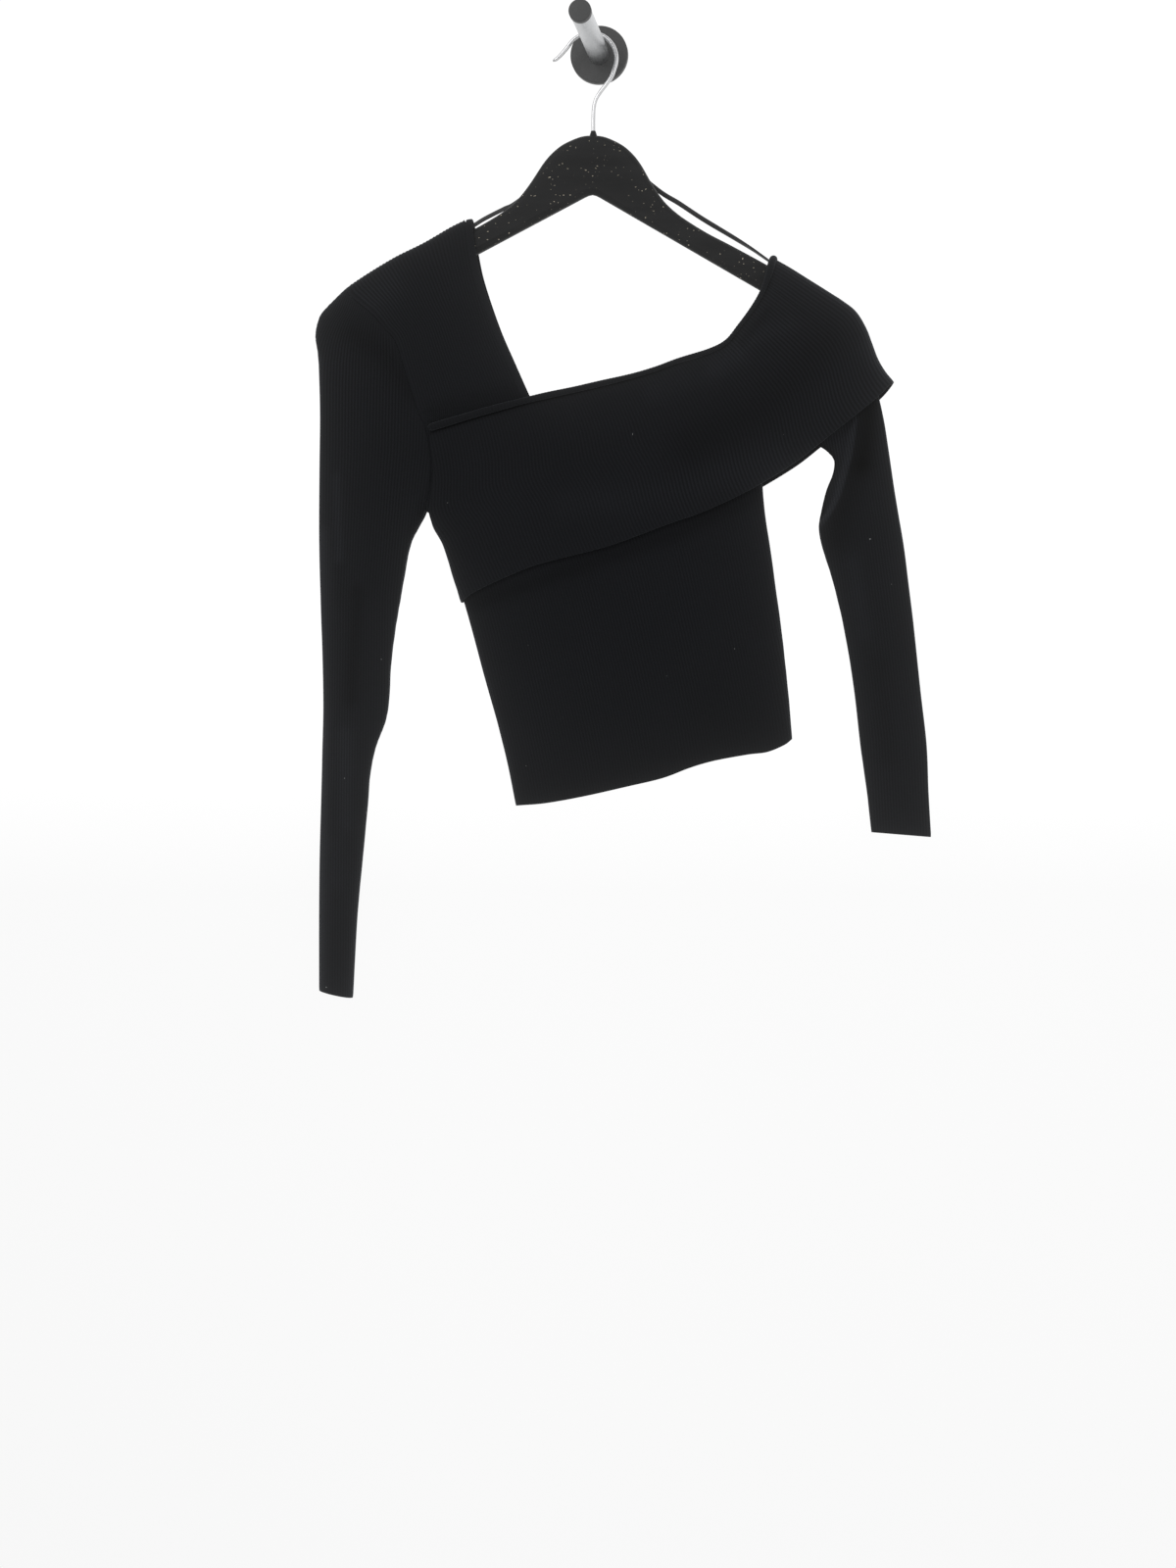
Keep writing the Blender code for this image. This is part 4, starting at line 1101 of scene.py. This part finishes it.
def neck_trim(material):
    """The narrow trim along the strap's neck edge, front, over the hanger and back."""
    edge = at_shares(LEFT_NECK, np.linspace(0.0, 1.0, 60))
    front = beside(edge, TRIM_LAP - TRIM_WIDTH / 2)
    ridge = unit(np.subtract(LEFT_RIDGE[-1], LEFT_RIDGE[-2]) * (1.0, 0.3))
    over = np.array([-ridge[1], ridge[0]])
    turns = np.radians(np.arange(10, 91, 10))
    plane = front[-1] + over * (HALF_DEPTH - TRIM_THICKNESS / 2) * np.sin(turns)[:, None]
    half = np.vstack([at_depth(front, HALF_DEPTH), at_depth(plane, HALF_DEPTH * np.cos(turns))])
    half[-1, 2] = 0.0
    path = np.vstack([half, mirrored(half[-2::-1])])
    along = unit(np.gradient(path, axis=0))
    face = unit(np.cross(along, (*ridge, 0.0)))
    size = (TRIM_WIDTH, TRIM_THICKNESS)
    points = oblongs(path, np.cross(face, along), face, *size, (0.6, 0.6), 16)
    points = fold_relief(BODY_FOLDS)(points)
    return sweep("knit_neck_trim", "neck_trim", "knit", points, material, np.full(len(path), 0.6))


def ribbon(name, node, points, twist, material):
    path = smooth_path(points, per_span=8)
    side, above = frames(np.gradient(path, axis=0), (0.2, 0.5, -1.0))
    twist = np.radians(read(twist, arc_lengths(path)))[:, None]
    across = side * np.cos(twist) + above * np.sin(twist)
    face = above * np.cos(twist) - side * np.sin(twist)
    points = oblongs(path, across, face, RIBBON_WIDTH, RIBBON_THICKNESS, (0.4, 1.0), 12)
    return sweep(name, node, "ribbon", points, material)


# ---- hanger, hook and peg


def hanger_outline():
    upper = [tuple(point) for point in smooth_path(HANGER_UPPER_EDGE, per_span=4)]
    end = arc(HANGER_END, HANGER_END_RADIUS, range(50, -121, -10))
    lower = [(x, -HANGER_VEE_DEPTH - HANGER_LOWER_SLOPE * x) for x in (160.0, 110.0, 60.0, 25.0, 6.0)]
    lower += [(3.0, -HANGER_VEE_DEPTH - 1.9), (0.0, -HANGER_VEE_DEPTH - 1.2)]
    right = upper + end + [(x + HANGER_VEE_ASIDE, y) for x, y in lower]
    left = [(HANGER_VEE_ASIDE - x, y) for x, y in lower[-2::-1]]
    left += [(-x, y) for x, y in (upper[1:] + end)[::-1]]
    return hanger_edge_world(right + left)


def hanger(material):
    outline = hanger_outline()
    half = HANGER_THICKNESS / 2
    count = len(outline)
    points = [place((x, y, side)) for side in (half, -half) for x, y in outline]
    faces = [tuple(range(count)), tuple(reversed(range(count, 2 * count)))]
    for index in range(count):
        beside = (index + 1) % count
        faces.append((index, beside, beside + count, index + count))
    mesh = bpy.data.meshes.new("wooden_hanger")
    mesh.from_pydata(points, [], faces)
    item = finish_mesh(mesh, "wooden_hanger", "hanger", "hanger_wood", material, 30)
    edge = item.modifiers.new("rounded_edges", "BEVEL")
    edge.width = HANGER_EDGE_RADIUS * MM
    edge.segments = 6
    edge.limit_method = "ANGLE"
    edge.angle_limit = math.radians(60)
    edge.harden_normals = True
    return item


# The wire before and after its round part: across, height.
HOOK_TIP = [(-35.6, -10.6), (-31.4, -8.0), (-27.0, -3.4)]
HOOK_STEM = [
    (13.0, -25.0), (8.6, -31.2), (4.0, -37.0), (0.4, -42.6), (-1.4, -49.0), (STEM_ACROSS, -58.0),
    (STEM_ACROSS, -69.1),
]


def hook(material):
    """The wire, from its free end round the rail and down into the hanger."""
    points = [*HOOK_TIP, *arc(ARC_CENTRE, ARC_RADIUS, range(148, -21, -8)), *HOOK_STEM]
    path = at_depth(smooth_path(points, per_span=4), 0.0)
    radii = np.full((len(path), 1, 1), WIRE_RADIUS)
    radii[:3, 0, 0] = (0.7, 1.3, 1.6)
    sections = rings(path, np.gradient(path, axis=0), radii, 20, (0.0, 0.0, 1.0))
    return sweep("wire_hook", "hook", "hook_wire", sections, material)


def turned(name, node, slot, profile, start, sides, material, upright=False):
    """A body of revolution: profile rows are radius and distance along its axis."""
    turns = np.arange(sides) * 2 * math.pi / sides
    rows = []
    for radius, along in profile:
        a, b = radius * np.cos(turns), radius * np.sin(turns)
        if upright:
            rows.append(at_depth(at_depth(STEM_ACROSS + a, along), b))
        else:
            rows.append(at_depth(np.column_stack([a, b]), start + along - HOOK_FROM_WALL))
    return sweep(name, node, slot, np.array(rows), material)


def rounded_end(radius, length, rim):
    """Profile of a disc or bar with a rounded outer end."""
    return [(radius, 0.0), *arc((radius - rim, length - rim), rim, range(0, 91, 15))]


def peg(dark, bright):
    """The wall disc, the bar and the end cap, one after another along the peg's axis."""
    disc = rounded_end(FLANGE_RADIUS, FLANGE_THICKNESS, 1.2)
    bar = [(ROD_RADIUS, 0.0), (ROD_RADIUS, ROD_LENGTH)]
    cap = rounded_end(CAP_RADIUS, CAP_THICKNESS, 0.9)
    start = 0.0
    for name, node, slot, profile, sides, material in (
        ("peg_wall_disc", "peg_flange", "peg_dark", disc, 96, dark),
        ("peg_bar", "peg_rod", "peg_rod", bar, 64, bright),
        ("peg_end_cap", "peg_cap", "peg_dark", cap, 64, dark),
    ):
        turned(name, node, slot, profile, start, sides, material)
        start += profile[-1][1] + PEG_GAP


def ferrule(material):
    profile = [(3.1, -73.8), (2.9, -72.2), (2.3, -70.6), (1.9, -69.2)]
    turned("hook_socket", "hook_ferrule", "hanger_wood", profile, 0.0, 32, material, upright=True)


# ---- materials


class Nodes:
    """A node tree, with short ways to add to it."""

    def __init__(self, tree, coordinates="Object"):
        self.tree = tree
        self.place = self.add("ShaderNodeTexCoord").outputs[coordinates]

    def add(self, kind, inputs=(), **settings):
        """A node with these settings. An input is a number, a colour or another node's output."""
        node = self.tree.nodes.new(kind)
        for key, value in settings.items():
            setattr(node, key, value)
        for key, value in dict(inputs).items():
            if isinstance(value, bpy.types.NodeSocket):
                self.tree.links.new(value, node.inputs[key])
            else:
                node.inputs[key].default_value = value
        return node

    def noise(self, scale, detail=3.0, stretch=(1.0, 1.0, 1.0)):
        """Noise in the part's own frame, its scale in repeats a metre."""
        mapping = self.add("ShaderNodeMapping", {"Vector": self.place, "Scale": stretch})
        inputs = {"Vector": mapping.outputs["Vector"], "Scale": scale, "Detail": detail}
        return self.add("ShaderNodeTexNoise", inputs).outputs["Fac"]

    def range(self, value, low, high, to_low, to_high):
        inputs = {"Value": value, "From Min": low, "From Max": high, "To Min": to_low, "To Max": to_high}
        return self.add("ShaderNodeMapRange", inputs).outputs["Result"]

    def mix(self, factor, first, second):
        """A colour between two, each a colour or another node's output."""
        inputs = {"Factor": factor, 6: first, 7: second}
        for key, value in inputs.items():
            if isinstance(value, tuple):
                inputs[key] = (*value, 1.0)
        return self.add("ShaderNodeMix", inputs, data_type="RGBA").outputs[2]

    def multiply(self, first, second):
        return self.add("ShaderNodeMath", {0: first, 1: second}, operation="MULTIPLY").outputs[0]

    def scale(self, colour, factor):
        """A colour made lighter or darker by a factor."""
        inputs = {0: colour, "Scale": factor}
        return self.add("ShaderNodeVectorMath", inputs, operation="SCALE").outputs[0]

    def attribute(self, name):
        return self.add("ShaderNodeAttribute", attribute_name=name).outputs["Fac"]


class Surface(Nodes):
    """The nodes of a new material, with these values on its shader."""

    def __init__(self, name, **values):
        self.material = bpy.data.materials.new(name)
        self.material.use_nodes = True
        super().__init__(self.material.node_tree)
        self.shader = self.tree.nodes["Principled BSDF"]
        for key, value in values.items():
            self.shader.inputs[key.replace("_", " ")].default_value = value

    def finish(self, colour, rough=None, relief=None):
        """The material in this colour.

        rough is a pattern and the roughness at its low and high places, and relief is a pattern
        with its depth in metres and its strength.
        """
        outputs = {"Base Color": colour}
        if rough:
            outputs["Roughness"] = self.range(rough[0], 0.3, 0.7, *rough[1:])
        if relief:
            inputs = dict(zip(("Height", "Distance", "Strength"), relief))
            outputs["Normal"] = self.add("ShaderNodeBump", inputs).outputs["Normal"]
        for key, output in outputs.items():
            self.tree.links.new(output, self.shader.inputs[key])
        return self.material


# Yarn colour on the ribs, and a darker colour painted into the grooves as shade.
KNIT_RIDGE = (0.0104, 0.0111, 0.0134)
KNIT_GROOVE_SHADE = (0.0046, 0.0050, 0.0060)
LINT = (0.22, 0.22, 0.22)


def knit_material():
    """Matte black yarn: painted shade in the grooves, painted light and shade in patches, uneven, with
    small stitches and a little lint.
    """
    sheen = {"Sheen_Weight": 0.12, "Sheen_Roughness": 0.4, "Sheen_Tint": (0.8, 0.85, 0.95, 1.0)}
    nodes = Surface("black_knit", Roughness=0.9, Specular_IOR_Level=0.12, **sheen)
    patchy = nodes.range(nodes.noise(14.0, 4.0), 0.3, 0.7, 0.82, 1.18)
    yarn = nodes.range(nodes.noise(900.0, 2.0), 0.3, 0.7, 0.8, 1.2)
    # Share of the rib colour, from the painted groove shade made uneven by noise; the painted light and
    # shade then scales the colour.
    lift = nodes.multiply(nodes.attribute("rib"), nodes.multiply(patchy, yarn))
    colour = nodes.scale(nodes.mix(lift, KNIT_GROOVE_SHADE, KNIT_RIDGE), nodes.attribute("painted_light"))
    specks = nodes.range(nodes.noise(300.0, 0.0), 0.9, 0.915, 0.0, 1.0)
    stitches = nodes.noise(700.0, 1.0, (1.0, 1.0, 1.6))
    return nodes.finish(nodes.mix(specks, colour, LINT), relief=(stitches, 0.00035, 0.6))


def ribbon_material():
    nodes = Surface("black_ribbon", Roughness=0.45, Specular_IOR_Level=0.4, Sheen_Weight=0.2)
    weave = nodes.noise(1600.0, 1.0, (1.0, 1.0, 4.0))
    threads = nodes.range(weave, 0.3, 0.7, 0.0, 1.0)
    colour = nodes.mix(threads, (0.009, 0.009, 0.010), (0.018, 0.018, 0.019))
    return nodes.finish(colour, relief=(weave, 0.0001, 0.5))


def wood_material():
    """Black-stained wood with pale flecks where it is worn."""
    nodes = Surface("black_stained_wood", Specular_IOR_Level=0.14)
    grain = nodes.noise(60.0, 6.0, (0.25, 2.0, 2.0))
    streaks = nodes.range(grain, 0.35, 0.7, 0.0, 1.0)
    stain = nodes.mix(streaks, (0.0055, 0.0057, 0.0060), (0.0125, 0.0128, 0.0132))
    chips = nodes.range(nodes.noise(600.0, 0.0, (0.9, 1.0, 1.0)), 0.775, 0.83, 0.0, 1.0)
    worn = nodes.range(nodes.noise(22.0, 2.0), 0.40, 0.52, 0.0, 1.0)
    colour = nodes.mix(nodes.multiply(chips, worn), stain, (0.52, 0.46, 0.36))
    return nodes.finish(colour, (grain, 0.38, 0.55), (grain, 0.0003, 0.25))


def chrome_material():
    nodes = Surface("chromed_wire", Metallic=1.0)
    smudge = nodes.noise(260.0, 3.0)
    colour = nodes.mix(smudge, (0.62, 0.62, 0.63), (0.86, 0.86, 0.87))
    return nodes.finish(colour, (smudge, 0.08, 0.2))


def aluminium_material():
    """Satin aluminium, brushed round the bar."""
    nodes = Surface("brushed_aluminium", Metallic=1.0)
    brushed = nodes.noise(220.0, 4.0, (0.25, 14.0, 0.25))
    colour = nodes.mix(brushed, (0.44, 0.45, 0.46), (0.66, 0.67, 0.68))
    return nodes.finish(colour, (brushed, 0.26, 0.4), (brushed, 0.00006, 0.4))


def plastic_material():
    nodes = Surface("dark_grey_plastic", Specular_IOR_Level=0.45)
    cast = nodes.noise(1100.0, 2.0)
    colour = nodes.mix(cast, (0.046, 0.0465, 0.047), (0.062, 0.0625, 0.063))
    return nodes.finish(colour, (cast, 0.4, 0.6), (cast, 0.0001, 0.3))


# ---- camera, light and floor

CAMERA_PLACE = (0.2618, -2.2124, -0.6065)
CAMERA_TURN = math.radians(7.0)
CAMERA_LENS = 61.38
FLOOR_HEIGHT = -1.9


def camera():
    data = bpy.data.cameras.new("camera")
    data.lens = CAMERA_LENS
    data.sensor_width = 36.0
    item = add_object("camera", data)
    item.location = CAMERA_PLACE
    item.rotation_euler = (math.radians(90), 0.0, CAMERA_TURN)
    bpy.context.scene.camera = item


# Shades of the white surround: axis of the direction, from, to, and the light at each end.
STUDIO_SHADES = [
    ("Z", -0.04, 0.03, 0.933, 1.02),
    ("Z", -0.28, -0.04, 0.978, 1.0),
    ("X", -0.33, -0.18, 0.988, 1.0),
    ("Y", -0.5, 0.5, 0.45, 1.0),
]


def studio():
    """A white surround that is a little darker low down and on the room's side."""
    world = bpy.data.worlds.new("studio")
    bpy.context.scene.world = world
    world.use_nodes = True
    nodes = Nodes(world.node_tree, "Generated")
    split = nodes.add("ShaderNodeSeparateXYZ", {"Vector": nodes.place})
    light = 1.0
    for axis, *limits in STUDIO_SHADES:
        light = nodes.multiply(nodes.range(split.outputs[axis], *limits), light)
    nodes.tree.links.new(light, nodes.tree.nodes["Background"].inputs["Color"])
    bpy.context.scene.view_settings.view_transform = "Standard"


def veil():
    """The glare that a white surround spreads over dark cloth in a lens."""
    bpy.context.scene.use_nodes = True
    tree = bpy.context.scene.node_tree
    tree.nodes.clear()
    layers = tree.nodes.new("CompositorNodeRLayers")
    glare = tree.nodes.new("CompositorNodeGlare")
    glare.glare_type = "BLOOM"
    for key, number in (("Threshold", 0.1), ("Size", 0.25), ("Strength", 0.038)):
        glare.inputs[key].default_value = number
    result = tree.nodes.new("CompositorNodeComposite")
    tree.links.new(layers.outputs["Image"], glare.inputs["Image"])
    tree.links.new(glare.outputs["Image"], result.inputs["Image"])


def soft_light(name, location, aim, size, power):
    data = bpy.data.lights.new(name, "AREA")
    data.shape = "RECTANGLE"
    data.size, data.size_y = size
    data.energy = power
    item = add_object(name, data)
    item.location = location
    x, y, z = np.subtract(aim, location)
    item.rotation_euler = (math.atan2(math.hypot(x, y), -z), 0.0, math.atan2(y, x) - math.pi / 2)


def floor():
    mesh = bpy.data.meshes.new("floor")
    corners = [(-4.0, -4.0), (4.0, -4.0), (4.0, 1.8), (-4.0, 1.8)]
    mesh.from_pydata([(x, y, FLOOR_HEIGHT) for x, y in corners], [], [(0, 1, 2, 3)])
    nodes = Surface("pale_floor", Roughness=0.7)
    colour = nodes.mix(nodes.noise(3.0, 2.0), (0.78, 0.78, 0.77), (0.82, 0.82, 0.81))
    mesh.materials.append(nodes.finish(colour))
    add_object("floor", mesh)


# ---- the whole


def build():
    camera()
    studio()
    veil()
    floor()
    middle = (0.0, 0.0, -0.45)
    soft_light("key", (-1.2, -2.6, 0.9), middle, (1.6, 1.6), 16.0)
    soft_light("fill", (1.6, -2.2, -0.2), middle, (1.4, 1.8), 6.0)
    knit = knit_material()
    satin = ribbon_material()
    cloth = [
        body_piece("knit_front", "body_front", 1, knit),
        body_piece("knit_back", "body_back", -1, knit),
        left_sleeve(knit),
        right_sleeve(knit),
        band(knit),
        neck_roll(knit),
        neck_trim(knit),
        ribbon("ribbon_loop_left", "hanging_loop_left", LEFT_RIBBON, LEFT_RIBBON_TWIST, satin),
        ribbon("ribbon_loop_right", "hanging_loop_right", RIGHT_RIBBON, RIGHT_RIBBON_TWIST, satin),
    ]
    wood = wood_material()
    rests = [hanger(wood).name]
    ferrule(wood)
    hook(chrome_material())
    peg(plastic_material(), aluminium_material())


build()
